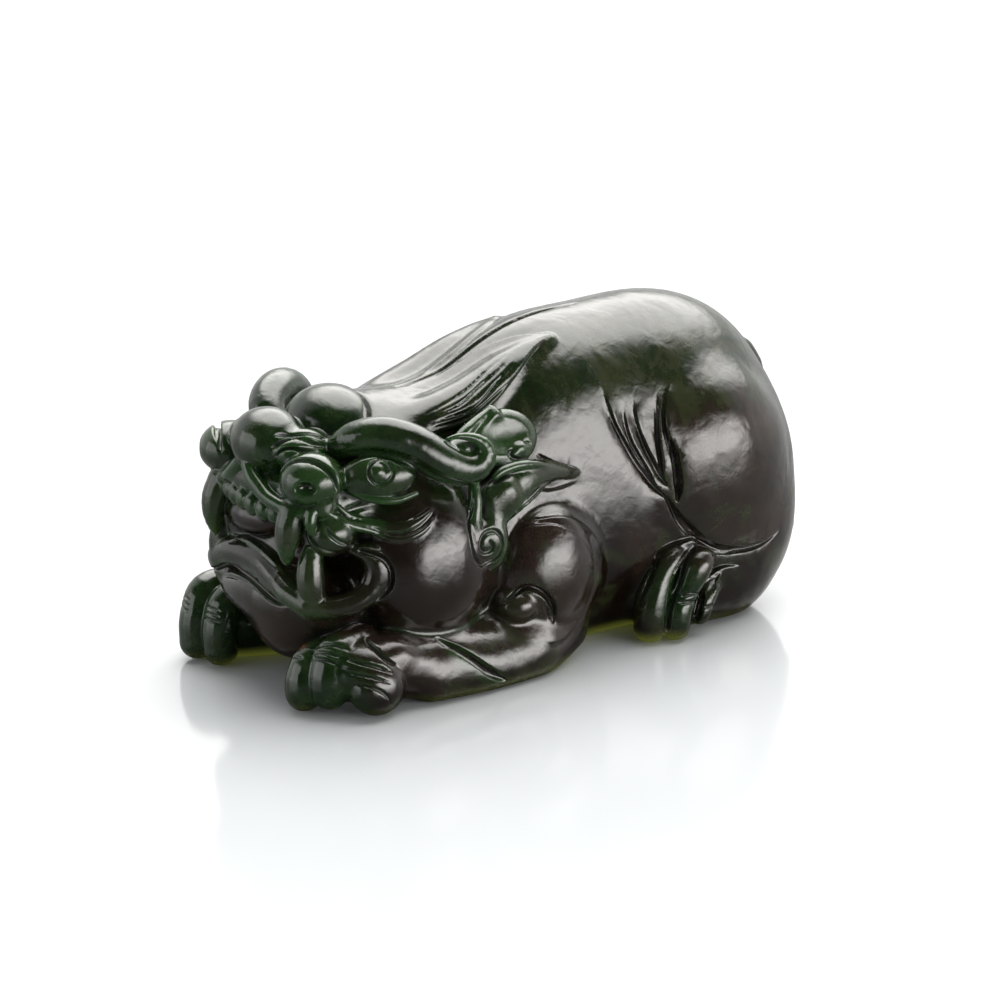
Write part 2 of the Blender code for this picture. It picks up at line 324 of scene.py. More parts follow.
            local = tuple(slice(s2[j].start - sl[j].start, s2[j].stop - sl[j].start) for j in range(3))
            near = d2 < best[local]
            best[local] = np.where(near, d2, best[local])
            lift[local] = np.where(near, value, lift[local])
        self.f[sl] -= lift


# ---------------------------------------------------------------- the forms
def body(c):
    m, r = c.mass, c.roll
    m((0, 4, 20.0), (16.5, 27, 25.0), k=4)
    m((0, -12, 18.5), (16.0, 16, 20.0), k=6)
    m((0, 8, 35.2), (12.5, 20, 13.2), (8, 0, 0), k=6)
    m((0, 25.6, 21.8), (18.2, 24.6, 26.4), k=6)
    m((6.0, 30.6, 18.6), (11.0, 16.8, 16.0), k=7, both=True)
    r([(0, -30, 33.0, 7.6), (0, -20, 33.2, 8.0), (0, -10, 33.8, 7.8), (0, 2, 37.0, 7.6)], k=4)
    m((11.0, 33.0, 11.2), (6.6, 10.6, 10.6), k=7, both=True)
    m((0, 26.0, 36.0), (10.5, 14.0, 9.6), k=6)
    # the root of the tail
    r([(0, 46.0, 35.6, 1.5), (-1.4, 48.2, 30.0, 2.3), (-2.0, 48.9, 23.0, 2.8), (-0.6, 48.4, 16.0, 2.8), (2.4, 46.8, 10.0, 2.3), (4.8, 44.6, 6.4, 1.5), (5.6, 43.4, 4.2, 0.8)], k=0.6)
    # thigh
    m((12.2, 28.0, 25.8), (8.7, 13.6, 13.4), (-14, 0, 0), k=3.2, both=True)


def legs(c):
    m, r = c.mass, c.roll
    # the shoulder's lower terrace, then the comma of the shoulder itself
    m((13.4, -1.8, 14.2), (6.3, 9.0, 10.6), (6, 0, 0), k=1.4, both=True)
    m((13.6, -6.8, 6.4), (6.6, 10.6, 7.0), (6, 0, 0), k=2.0, both=True)
    m((15.2, -4.8, 14.8), (6.6, 8.6, 9.7), (0, 0, 0), k=0.8, both=True)
    m((17.2, -11.0, 11.2), (3.7, 3.4, 2.8), k=0.6, both=True)
    # forearm
    r([(16.0, -8.0, 4.2, 4.8), (16.2, -16.0, 4.6, 4.6), (16.3, -25.0, 5.0, 4.7), (15.6, -33.0, 5.6, 5.0)], k=1.8, both=True)
    r([(14.0, 0.4, 4.0, 3.5), (16.6, -7.0, 2.8, 3.8), (17.8, -16.0, 2.6, 3.8), (17.8, -26.0, 2.8, 3.4)], k=2.2, both=True)
    # near paw: three toes fanned outwards
    m((14.8, -37.2, 6.2), (6.2, 5.6, 5.0), k=1.6)
    r([(11.6, -38.0, 8.0, 2.4), (11.3, -42.4, 7.4, 2.6), (11.3, -44.0, 4.6, 2.7), (11.3, -44.0, 2.8, 2.7)], k=0.35)
    r([(14.0, -36.0, 9.6, 2.7), (14.4, -40.4, 8.6, 2.9), (14.6, -41.9, 5.6, 3.0), (14.6, -41.9, 3.8, 2.9)], k=0.35)
    r([(17.4, -33.2, 8.0, 2.4), (18.4, -36.8, 6.6, 2.7), (18.8, -38.1, 4.6, 2.9), (18.8, -38.1, 3.8, 2.8)], k=0.35)
    m((19.0, -36.6, 4.2), (3.2, 4.3, 4.1), k=0.35)
    m((17.3, -32.8, 7.8), (3.1, 3.8, 2.9), (-12, 0, 0), k=1.2)
    # far paw: its toes stand square to the front
    m((-16.0, -37.8, 6.2), (6.4, 5.4, 5.0), k=1.6)
    r([(-14.8, -37.0, 3.8, 4.2), (-13.4, -31.0, 4.0, 4.8), (-13.2, -22.0, 4.2, 5.0)], k=1.2)
    r([(-13.0, -36.0, 9.4, 2.4), (-12.8, -40.8, 9.4, 2.7), (-12.7, -42.4, 6.0, 2.7), (-12.7, -42.4, 2.5, 2.6)], k=0.35)
    r([(-17.0, -36.6, 10.4, 2.6), (-17.4, -41.6, 10.0, 2.7), (-17.3, -43.4, 6.2, 2.7), (-17.3, -43.6, 2.6, 2.6)], k=0.35)
    r([(-19.6, -34.0, 8.0, 2.2), (-20.6, -38.6, 7.2, 2.3), (-20.8, -39.8, 4.2, 2.3), (-20.8, -39.8, 2.2, 2.2)], k=0.35)
    # hind foot
    m((13.2, 21.6, 6.0), (5.2, 8.2, 6.4), k=2, both=True)
    m((12.0, 30.0, 5.2), (5.4, 9.2, 5.8), k=3, both=True)
    r([(17.0, 21.4, 13.6, 1.0), (17.4, 18.2, 12.0, 1.6), (17.3, 16.0, 9.2, 2.1), (17.2, 14.7, 5.4, 2.6), (17.1, 14.6, 2.3, 2.5)], k=0.4, both=True)
    r([(17.6, 24.4, 12.4, 1.9), (19.0, 22.0, 11.0, 2.4), (18.9, 20.0, 7.6, 2.0), (18.8, 18.5, 4.6, 2.3), (18.7, 18.2, 2.1, 2.2)], k=0.4, both=True)
    r([(18.0, 25.6, 6.6, 1.5), (18.7, 23.6, 5.0, 1.7), (18.7, 22.8, 3.2, 1.7)], k=0.35, both=True)


def head(c):
    m, r = c.mass, c.roll
    m((0, -26.6, 27.3), (15.0, 13.0, 13.3), k=4)
    m((12.0, -23.3, 18.3), (8.6, 11.8, 11.6), (-12, 0, 8), k=2.2, both=True)
    m((10.6, -23.4, 22.2), (8.6, 11.2, 10.2), k=2.2, both=True)
    m((0, -36.5, 29.4), (13.2, 8.0, 6.4), k=3)
    m((0, -31.2, 37.8), (7.2, 6.6, 5.8), k=0.7)
    # jaw and chin
    m((0, -36.8, 13.6), (12.8, 9.4, 6.2), (-14, 0, 0), k=2)
    m((1.0, -38.0, 9.8), (7.6, 5.8, 5.6), (-10, 0, 0), k=3)
    m((-2.0, -40.2, 13.6), (11.0, 5.4, 3.4), k=1.6)
    # mouth: one cut from corner to corner, the tongue left standing in it
    m((0, -46.0, 24.4), (10.5, 8.0, 4.6), k=0.6, take=True)
    m((10.8, -43.8, 20.8), (6.0, 7.2, 3.9), (-8, 0, 0), k=0.6, take=True, both=True)
    m((13.8, -39.4, 20.6), (4.4, 4.6, 3.0), k=0.4, take=True, both=True)
    m((-4.0, -41.0, 25.4), (6.6, 4.2, 3.2), (-6, 0, 0), k=0.6)
    m((-8.6, -39.6, 23.0), (4.2, 3.6, 5.4), k=0.8)
    m((-1.5, -38.8, 21.0), (8.4, 3.6, 3.8), k=0.8)
    r([(15.0, -40.4, 20.8, 3.0), (10.4, -37.0, 20.6, 2.8), (6.4, -34.0, 20.2, 2.3)], k=0.4, take=True, both=True)
    # lower lip, thick in front, thin round the corner and up into the cheek
    r([(10.6, -42.7, 15.5, 1.5), (7.8, -43.8, 16.6, 1.8), (4.0, -43.4, 18.0, 2.1), (0, -43.0, 19.2, 2.3),
       (-4.0, -42.8, 19.4, 2.4), (-8.4, -42.8, 18.6, 2.3), (-12.2, -42.2, 17.0, 2.1), (-13.8, -40.4, 16.2, 1.8)], k=0.7)
    r([(13.0, -36.8, 23.2, 0.8), (14.8, -35.2, 22.6, 1.3), (15.4, -34.2, 20.6, 1.7), (15.2, -34.8, 17.8, 1.9), (14.6, -37.2, 16.0, 1.7),
       (13.0, -40.4, 15.3, 1.6), (10.6, -42.7, 15.5, 1.5)], k=1.8, both=True)
    # upper lip lobe beside the mouth's corner
    m((11.6, -39.4, 25.8), (3.5, 3.8, 3.3), k=0.6, both=True)
    # gum above the teeth
    r([(11.5, -40.8, 30.2, 2.2), (6.5, -43.0, 31.0, 2.2), (0, -43.9, 31.6, 2.2), (-6.5, -43.0, 31.0, 2.2), (-11.5, -40.8, 30.2, 2.2)], k=0.8)
    # nose: bulb, two wings folding back, and the nostrils
    m((0.2, -42.1, 37.2), (5.5, 5.3, 4.9), (-8, 0, 0), k=0.8)
    m((5.4, -39.8, 36.8), (3.2, 4.8, 2.9), (0, 0, 12), k=0.7, both=True)
    m((10.3, -41.5, 33.7), (4.6, 4.7, 3.9), k=0.4, both=True)
    # eye
    m((14.1, -33.0, 33.5), (2.9, 5.5, 3.2), (0, 0, -28), k=0.35, both=True)
    # brow, rolling back into its curl
    r([(7.2, -35.2, 36.2, 1.9), (10.0, -34.2, 38.2, 2.5), (13.0, -31.2, 39.0, 2.8), (15.2, -27.6, 37.6, 2.9),
       (16.8, -24.4, 35.3, 2.9), (17.9, -21.4, 33.7, 2.6), (18.8, -18.9, 33.8, 2.15), (19.3, -17.7, 35.4, 1.6),
       (19.2, -18.2, 37.0, 1.1), (18.8, -19.8, 38.1, 0.7), (18.3, -21.8, 38.5, 0.45), (17.9, -23.4, 38.3, 0.25)], k=0.45)
    r([(-6.8, -36.2, 36.8, 2.1), (-9.6, -35.6, 38.9, 2.7), (-12.4, -32.2, 40.0, 3.1), (-14.8, -28.2, 39.0, 3.1),
       (-16.8, -24.4, 34.8, 2.9), (-17.9, -21.4, 32.4, 2.6), (-18.7, -19.2, 32.2, 2.1), (-19.1, -18.2, 33.6, 1.6),
       (-19.0, -18.6, 35.0, 1.15), (-18.7, -20.0, 35.8, 0.8), (-18.2, -21.8, 36.0, 0.5)], k=0.45)
    m((17.0, -20.4, 35.9), (1.9, 2.6, 1.9), k=0.3)
    m((-17.0, -20.4, 34.4), (1.9, 2.6, 1.9), k=0.3)


def ring(centre, facing, radius, count=12):
    """A closed loop of points round a centre, square to the way it faces."""
    n = np.array(facing) / np.linalg.norm(facing)
    u = np.cross((0, 0, 1), n)
    u /= np.linalg.norm(u)
    w = np.cross(n, u)
    return [tuple(np.array(centre) + radius * (math.cos(t) * u + math.sin(t) * w)) for t in np.linspace(0, 2 * math.pi, count)]


def head_detail(c):
    m, r, cut, lip = c.mass, c.roll, c.line, c.lip
    bead = lambda pts, w, h, **o: c.line(pts, w, h, raise_=True, **o)

    # a groove parts the crown from the neck
    cut([(-9.6, -31.4, 38.0), (-7.0, -29.0, 39.6), (-3.0, -27.8, 41.2), (1.0, -27.6, 41.4), (5.0, -28.2, 40.6), (8.0, -30.4, 38.8), (9.4, -32.6, 37.0)], 1.3, 1.2, k=0.6, ends=(0.3, 0.3))

    # --- nose: wrinkled wings, a cord running round under the nostril
    for side in (1, -1):
        s = lambda pts: [(side * x, y, z) for x, y, z in pts]
        cut(s([(4.0, -44.0, 39.0), (5.8, -41.8, 39.2), (6.8, -39.2, 38.6), (6.9, -36.4, 37.6)]), 0.7, 0.6)
        cut(s([(4.4, -44.6, 37.6), (6.4, -42.2, 37.8), (7.6, -39.4, 37.6), (7.8, -36.4, 36.9)]), 0.9, 0.9)
        cut(s([(5.2, -44.4, 36.4), (7.0, -41.8, 36.6), (8.2, -39.0, 36.6)]), 0.6, 0.6)
        cut(s([(4.2, -45.8, 35.8), (5.2, -45.2, 34.4), (6.0, -44.8, 33.2)]), 0.8, 0.8)
    r([(1.2, -46.2, 34.6, 1.0), (3.0, -46.4, 32.8, 1.15), (5.4, -46.0, 31.0, 1.15), (8.2, -45.2, 30.0, 1.1),
       (10.8, -43.8, 29.4, 0.95), (13.0, -41.2, 29.6, 0.6)], k=0.3)
    r([(-1.6, -45.4, 34.6, 1.0), (-3.4, -45.4, 32.8, 1.1), (-5.6, -45.0, 31.2, 1.1), (-8.2, -44.2, 30.2, 1.0),
       (-10.8, -43.0, 29.6, 0.9), (-13.0, -40.8, 29.6, 0.6)], k=0.3)
    # nostril: lid, deep fold, inner almond and its hollow
    cut([(7.6, -44.9, 34.4), (9.6, -43.9, 36.0), (11.8, -42.4, 36.2), (13.4, -41.0, 34.9), (14.2, -40.2, 32.8)], 1.15, 1.0, both=True, ends=(0.2, 0.2))
    bead([(7.8, -45.4, 33.4), (10.2, -44.2, 34.9), (12.4, -42.7, 34.5), (14.0, -41.0, 32.8)], 0.55, 0.4, both=True)
    cut([(8.6, -45.5, 31.4), (11.2, -44.2, 30.8), (13.2, -42.0, 31.1)], 0.5, 0.4, both=True)
    m((13.4, -44.8, 33.6), (1.5, 1.6, 1.0), (0, 0, 20), k=0.4, take=True, both=True)

    # --- teeth: an upper row set in the gum
    for x, y, z, h in ((-7.6, -44.6, 29.2, 1.6), (-5.4, -45.3, 29.2, 1.7), (-3.1, -45.9, 29.2, 1.8), (-0.8, -46.2, 29.1, 1.8),
                       (1.5, -46.2, 28.8, 1.8), (3.8, -45.9, 28.5, 1.7), (6.0, -45.4, 28.4, 1.6)):
        m((x, y + 0.6, z), (1.4, 1.3, h), k=0.2)
    # fangs hang from the lip's corners, tusks stand up beside the drilled hole
    r([(9.2, -43.8, 29.6, 2.1), (9.4, -44.9, 27.2, 2.0), (9.4, -45.3, 24.8, 1.6), (9.2, -45.3, 22.9, 1.0), (9.1, -45.2, 21.8, 0.45)], k=0.3, both=True)
    r([(11.3, -42.0, 16.4, 1.7), (11.3, -42.6, 18.8, 2.05), (11.1, -42.5, 21.3, 1.9), (10.9, -42.1, 23.4, 1.4), (10.8, -41.8, 24.6, 0.8)], k=0.25, both=True)
    r([(12.2, -43.0, 29.6, 0.8), (12.3, -43.3, 28.2, 0.95), (12.3, -43.1, 26.8, 0.6)], k=0.15, both=True)
    # gum line along the lower lip
    bead([(-7.4, -44.0, 21.6), (-3.4, -44.2, 22.2), (0.6, -44.2, 21.8), (4.4, -44.0, 20.4), (7.6, -43.6, 18.6)], 0.5, 0.45)

    # --- lower lip's crease and the chin
    cut([(-13.4, -42.6, 15.0), (-10.4, -44.0, 16.0), (-6.4, -44.8, 17.0), (-2.4, -44.9, 17.2), (1.6, -44.9, 16.5), (5.4, -45.2, 15.3), (9.0, -45.0, 14.2), (12.2, -43.4, 13.6)], 0.9, 0.8, ends=(0.1, 0.2))
    cut([(-9.4, -44.4, 14.8), (-6.0, -44.8, 15.8), (-2.0, -45.0, 15.9), (2.0, -44.9, 15.1)], 0.4, 0.3)

    # --- upper lip lobe's crescents, the fold round the mouth's corner
    cut([(10.8, -42.6, 28.6), (11.4, -42.9, 26.8), (12.8, -41.9, 24.9), (14.2, -39.6, 23.6)], 0.6, 0.5, both=True)
    cut([(13.0, -41.2, 28.4), (13.4, -41.2, 26.8), (14.2, -39.8, 25.4), (15.4, -37.8, 24.4)], 0.5, 0.4, both=True)
    cut([(14.6, -37.8, 23.4), (16.0, -35.4, 23.2), (16.9, -33.3, 21.7), (17.2, -32.7, 19.3), (16.9, -33.5, 17.2), (16.0, -35.6, 16.0)], 0.9, 1.0, both=True, ends=(0.2, 0.1))

    # --- under the eye: a deep hollow, then ropes of skin swept back to a point
    m((15.7, -33.9, 29.5), (2.4, 5.2, 1.25), (8, 0, -27), k=0.4, take=True, both=True)
    for pts, w in (([(13.5, -39.3, 30.4), (14.5, -37.6, 29.4), (15.5, -36.1, 28.2), (17.0, -33.7, 27.3), (18.3, -31.2, 27.3), (19.0, -28.7, 28.2), (19.4, -26.4, 29.8)], 1.15),
                   ([(12.8, -41.0, 29.6), (13.7, -38.8, 28.6), (15.0, -36.6, 27.1), (16.6, -34.3, 26.2), (17.8, -31.7, 26.1), (18.8, -28.9, 26.9), (19.4, -26.0, 29.2)], 1.1),
                   ([(12.9, -40.6, 28.4), (13.9, -38.2, 27.2), (15.2, -35.9, 25.9), (17.0, -32.9, 25.0), (18.2, -30.2, 24.9), (19.0, -28.0, 25.9), (19.5, -25.8, 28.4)], 1.0)):
        bead(pts, w, 0.5, both=True, ends=(0.3, 0.25), step=0.9)

    # --- eye: lids, ring and pupil
    r([(12.2, -37.4, 33.4, 0.5), (13.2, -36.6, 34.9, 0.7), (14.6, -34.6, 36.1, 0.75), (16.0, -31.9, 35.7, 0.7), (17.2, -29.4, 33.8, 0.5)], k=0.25, both=True)
    r([(12.4, -37.4, 33.0, 0.4), (14.0, -36.4, 31.6, 0.55), (15.7, -34.2, 30.7, 0.6), (17.0, -31.4, 30.5, 0.55), (17.8, -28.8, 31.2, 0.4)], k=0.25, both=True)
    m((15.3, -33.9, 34.6), (1.5, 1.6, 1.6), k=0.12, both=True)
    cut(ring((16.0, -33.7, 34.8), (0.8, -0.5, 0.33), 1.75), 0.4, 0.35, both=True, ends=(1, 1))
    cut([(14.4, -34.4, 37.3), (16.2, -31.9, 36.6), (17.6, -29.6, 34.8)], 0.45, 0.4, both=True)

    # --- brow: long hollow under its crest, the curl's eye
    cut([(11.6, -35.6, 36.9), (14.6, -32.8, 37.0), (17.0, -28.6, 35.6), (18.6, -24.8, 33.0), (19.8, -21.6, 31.6)], 1.3, 0.4, k=0.8, both=True)

    # --- cheek: a band falling from the brow into a volute
    r([(16.8, -18.0, 30.6, 0.9), (17.9, -18.5, 28.0, 1.0), (18.4, -19.0, 25.4, 1.0), (18.4, -18.8, 23.2, 0.9)], k=0.3, both=True)
    m((18.0, -17.5, 21.9), (2.0, 3.0, 3.1), k=0.5, both=True)
    m((17.8, -15.4, 21.8), (2.2, 2.4, 4.6), k=0.9, both=True)
    cut([(18.2, -19.6, 29.4), (19.4, -20.4, 26.6), (19.9, -20.6, 24.0), (20.0, -20.4, 21.4), (20.1, -19.2, 19.4), (20.1, -17.4, 18.8), (20.0, -15.7, 19.8), (20.0, -15.1, 22.0),
         (20.1, -16.0, 23.8), (20.2, -17.6, 24.2), (20.3, -18.8, 23.2), (20.3, -19.0, 21.6), (20.3, -18.1, 20.6), (20.3, -17.0, 20.9), (20.3, -16.8, 22.0), (20.3, -17.5, 22.6)],
        0.55, 0.5, both=True, ends=(0.2, 0.5), share=(0.15, 0.05), step=0.35)


def mane(c):
    m, r, cut, lip = c.mass, c.roll, c.line, c.lip
    bead = lambda pts, w, h, **o: c.line(pts, w, h, raise_=True, **o)
    # neck locks lying back over the shoulders, combed
    r([(4.5, -24.0, 36.0, 3.6), (6.0, -18.0, 37.0, 4.0), (6.6, -11.0, 39.2, 3.8), (6.4, -4.0, 42.6, 3.0), (6.6, 3.4, 46.2, 0.8)], k=1.2, both=True)
    lip([(11.0, -20.6, 37.0), (10.4, -15.4, 37.0), (9.8, -11.4, 38.6), (9.4, -8.6, 40.2), (8.6, -4.6, 42.8), (7.8, -1.0, 45.0), (6.8, 3.4, 47.0)], 0.35, 0.6, 1.0, both=True, side=1)
    lip([(1.0, -14.0, 41.2), (1.6, -6.0, 43.6), (3.4, 0.0, 45.8), (6.4, 4.0, 47.4)], 0.3, 0.4, 1.0, both=True, side=-1)
    for d in (0.0, 1.0, 2.0, 3.0):
        cut([(10.6 - d * 0.5, -20.5, 37.6 + d * 0.7), (10.0 - d * 0.6, -14.8, 38.0 + d * 0.8), (9.2 - d * 0.6, -9.6, 40.2 + d * 0.7), (8.4 - d * 0.5, -4.4, 43.2 + d * 0.5)], 0.45, 0.35, both=True, ends=(0.1, 0.1), share=(0.4, 0.4))
    cut([(0, -20, 42), (0, -10, 42), (0, -2, 44.5), (0, 8, 48), (0, 14, 49)], 0.9, 0.6, ends=(0.2, 0.1))

    # ear: a leaf lying against the neck, its face dished, its tip free
    for side, dz in ((1, 0.0), (-1, -2.6)):
        s = lambda pts: [(side * p[0], p[1], p[2] + dz) + tuple(p[3:]) for p in pts]
        m((side * 15.0, -11.7, 35.6 + dz), (1.7, 6.3, 4.4), (0, -23 * side, 0), k=0.4)
        r(s([(14.4, -12.4, 38.2, 1.5), (13.9, -12.5, 39.5, 0.9), (13.6, -12.7, 40.3, 0.3)]), k=0.6)
        r(s([(13.8, -13.2, 39.7, 0.45), (14.2, -15.4, 38.8, 0.7), (14.6, -17.8, 37.6, 0.9), (14.8, -20.0, 36.4, 0.7)]), k=0.4)
        m((side * 16.7, -12.0, 36.6 + dz), (1.2, 4.6, 2.9), (0, -23 * side, 0), k=0.5, take=True)
        cut(s([(17.0, -7.4, 34.4), (17.0, -8.8, 35.4), (17.2, -10.7, 35.5), (17.4, -12.0, 34.6), (17.4, -11.5, 33.3), (17.2, -9.9, 32.5), (17.0, -8.6, 32.6)]), 0.65, 0.6, ends=(0.2, 0.2))
        m((side * 16.4, -9.6, 34.0 + dz), (1.0, 1.3, 1.1), k=0.3)
        cut(s([(16.8, -5.6, 33.4), (16.4, -4.0, 31.8), (15.8, -1.2, 29.8), (15.2, 1.6, 29.0)]), 0.6, 0.5)

    # mane tufts under the ear: one leaf with a turned upper edge, combed along its lower one
    r([(17.2, -14.0, 27.2, 3.4), (17.0, -10.0, 28.9, 3.2), (16.6, -5.6, 29.7, 2.1), (16.0, -1.2, 29.0, 1.1), (15.2, 2.6, 28.0, 0.3)], k=0.4, both=True, flat=0.62, way=(1, 0, 0.1))
    r([(18.0, -15.0, 31.2, 0.5), (18.0, -13.6, 31.9, 0.7), (17.8, -10.4, 32.1, 0.75), (17.4, -7.0, 31.4, 0.7), (16.6, -3.4, 30.2, 0.55), (15.8, 0.0, 28.9, 0.4), (15.2, 2.4, 28.3, 0.25)], k=0.25, both=True)
    m((18.0, -13.0, 27.9), (1.6, 2.5, 2.9), k=0.4, both=True)
    for d, s_ in ((0.0, 0.0), (1.0, 0.2), (2.0, 0.5)):
        cut([(18.6, -13.0 + s_, 24.0 + d * 0.9), (18.2, -10.5 + s_, 25.6 + d), (17.8, -7.5, 26.8 + d), (17.0, -4.2, 27.5 + d * 0.7), (16.0, -0.8, 27.5 + d * 0.4)], 0.42, 0.45, both=True)
    lip([(18.6, -14.0, 22.6), (18.6, -12.0, 23.8), (18.2, -9.4, 25.0), (17.8, -6.4, 26.0), (17.0, -3.0, 26.5), (16.0, 0.4, 26.8), (15.4, 2.4, 27.2)], 0.3, 0.5, 0.8, both=True, side=1)


def body_detail(c):
    m, r, cut, lip = c.mass, c.roll, c.line, c.lip
    bead = lambda pts, w, h, **o: c.line(pts, w, h, raise_=True, **o)
    # tail: a plume laid down over the rump, a lock curling away on either side
    bead([(0.4, 42.0, 42.0), (-0.6, 46.0, 37.6), (-2.2, 49.5, 31.0), (-3.2, 51.4, 24.0), (-2.2, 51.6, 17.0), (1.4, 50.5, 10.6), (5.2, 48.5, 6.4), (7.2, 46.5, 4.8)], 5.0, 2.0, k=0.3, ends=(0.1, 0.1))
    bead([(-3.6, 50.6, 28.0), (-7.0, 50.0, 22.0), (-8.0, 49.5, 15.6), (-6.2, 49.0, 10.6), (-3.6, 49.0, 9.0), (-2.6, 49.4, 10.8)], 3.0, 1.4, k=0.25, ends=(0.1, 0.2))
    bead([(-1.4, 50.8, 26.0), (3.4, 50.5, 21.0), (6.6, 49.6, 15.6), (9.6, 47.4, 11.6), (11.6, 45.6, 11.0), (11.8, 45.4, 12.6)], 2.8, 1.3, k=0.25, ends=(0.1, 0.2))
    for off in (-1.0, 0.7):
        cut([(-0.4 + off, 46.0, 37.0), (-2.2 + off, 49.8, 31.0), (-3.2 + off, 52.6, 24.0), (-2.2 + off, 52.8, 17.0), (1.4 + off, 51.6, 10.8), (4.8 + off, 49.4, 7.0)], 0.6, 0.6)
    cut([(-5.0, 51.2, 26.6), (-7.2, 51.2, 21.6), (-8.0, 50.6, 16.0), (-6.6, 50.0, 12.0)], 0.45, 0.45)
    cut([(1.6, 51.6, 23.6), (4.6, 51.2, 19.6), (7.0, 50.2, 15.6), (9.0, 48.6, 12.6)], 0.45, 0.45)
    # shoulder comma: its rim, the terrace behind, and the volute at the elbow
    lip([(18.4, -11.4, 23.4), (19.2, -8.8, 23.8), (19.8, -5.8, 23.4), (20.2, -3.0, 21.9), (20.4, -0.4, 19.6), (20.3, 1.5, 16.4), (20.1, 2.3, 13.0), (20.1, 1.9, 10.0),
         (20.4, 0.4, 7.4), (20.6, -2.2, 5.6), (21.0, -5.4, 4.9), (21.2, -7.7, 5.4), (20.8, -9.1, 7.2)], 0.4, 0.6, 1.0, both=True, side=-1)
    cut([(18.9, -15.0, 12.8), (19.6, -12.8, 14.0), (20.4, -10.4, 14.2), (20.6, -8.0, 12.9), (20.6, -6.5, 10.6), (20.7, -6.0, 8.0)], 1.0, 1.1, both=True, ends=(0.2, 0.4))
    cut([(20.7, -8.1, 11.7), (20.7, -7.2, 9.8), (20.8, -7.0, 8.0)], 0.4, 0.45, both=True)
    lip([(18.4, -9.0, 24.2), (18.8, -5.6, 24.4), (18.8, -1.8, 23.6), (18.6, 1.8, 21.6), (18.4, 4.4, 18.4), (18.2, 5.6, 14.8), (18.0, 5.4, 11.0), (17.8, 4.4, 7.6), (17.2, 2.6, 4.4)], 0.3, 0.45, 1.0, both=True, side=-1)
    # elbow: the forearm's edge falls in a leaf over it
    cut([(18.6, -26.0, 9.0), (19.6, -24.0, 7.4), (20.4, -21.2, 5.2), (21.2, -18.4, 3.0), (21.2, -15.5, 1.5)], 1.5, 1.2, both=True, ends=(0.3, 0.1))
    lip([(19.0, -26.6, 7.8), (20.0, -24.2, 6.0), (20.8, -21.2, 4.0), (21.2, -18.4, 2.2), (21.2, -16.0, 1.0)], 0.4, 0.4, 0.8, both=True, side=-1)
    bead([(19.4, -25.2, 7.2), (20.3, -22.4, 5.0), (21.0, -19.4, 3.0), (21.2, -16.6, 1.6)], 0.35, 0.35, both=True)

    # thigh: the crease round its front and underside, and the slot above
    cut([(17.2, 17.0, 22.4), (17.6, 19.0, 19.3), (18.2, 21.0, 16.7), (18.4, 24.3, 14.1), (18.6, 27.4, 12.8), (18.6, 31.7, 12.2), (18.6, 35.2, 12.4), (18.0, 38.6, 13.5)], 1.3, 1.3, both=True, ends=(0.4, 0.05), share=(0.2, 0.45))
    lip([(17.2, 16.6, 23.0), (17.6, 18.8, 19.4), (18.2, 21.0, 16.4), (18.6, 26.4, 12.9), (18.6, 31.7, 12.0), (18.6, 35.2, 12.2), (18.0, 38.6, 13.4)], 0.5, 0.5, 1.3, both=True, side=1)
    cut([(17.9, 21.8, 14.0), (18.2, 24.2, 12.6), (18.5, 26.8, 11.7), (18.6, 29.7, 11.2)], 0.6, 0.6, both=True, ends=(0.2, 0.1))
    cut([(17.0, 17.9, 31.0), (17.3, 18.3, 29.1), (17.3, 18.7, 26.6), (17.3, 19.0, 24.2), (17.6, 19.1, 22.2)], 1.45, 2.0, both=True, ends=(0.3, 0.4))
    # flame tufts climbing the flank
    strands = [
        ([(12.8, 8.2, 39.8), (13.8, 8.6, 37.4), (14.6, 9.1, 34.7), (15.4, 10.4, 31.6), (16.2, 12.2, 28.1), (16.9, 14.5, 24.8), (17.3, 17.0, 22.2)], 0.45, 0.45),
        ([(14.3, 11.2, 36.6), (15.0, 11.1, 34.0), (15.6, 11.6, 31.4), (16.3, 13.2, 28.2), (16.8, 15.1, 25.6), (17.3, 16.9, 23.4)], 0.3, 0.4),
        ([(14.3, 13.1, 37.0), (15.0, 12.9, 34.8), (15.7, 13.4, 32.0), (16.2, 14.5, 29.1), (16.7, 15.8, 26.7), (17.5, 17.0, 24.0)], 0.35, 0.4),
        ([(14.6, 17.4, 37.2), (15.6, 16.7, 33.9), (16.5, 16.2, 30.9), (17.1, 16.3, 27.9), (17.6, 17.0, 24.6)], 0.35, 0.4),
        ([(14.3, 20.2, 38.8), (15.2, 18.5, 36.4), (16.2, 17.5, 33.6), (17.0, 17.4, 30.8), (17.3, 17.6, 27.6)], 0.35, 0.4),
    ]
    for pts, high, low in strands:
        lip(pts, high, low, 0.9, both=True, side=1)
        cut(pts, 0.5, 0.5, both=True, ends=(0.05, 0.4), share=(0.5, 0.2))

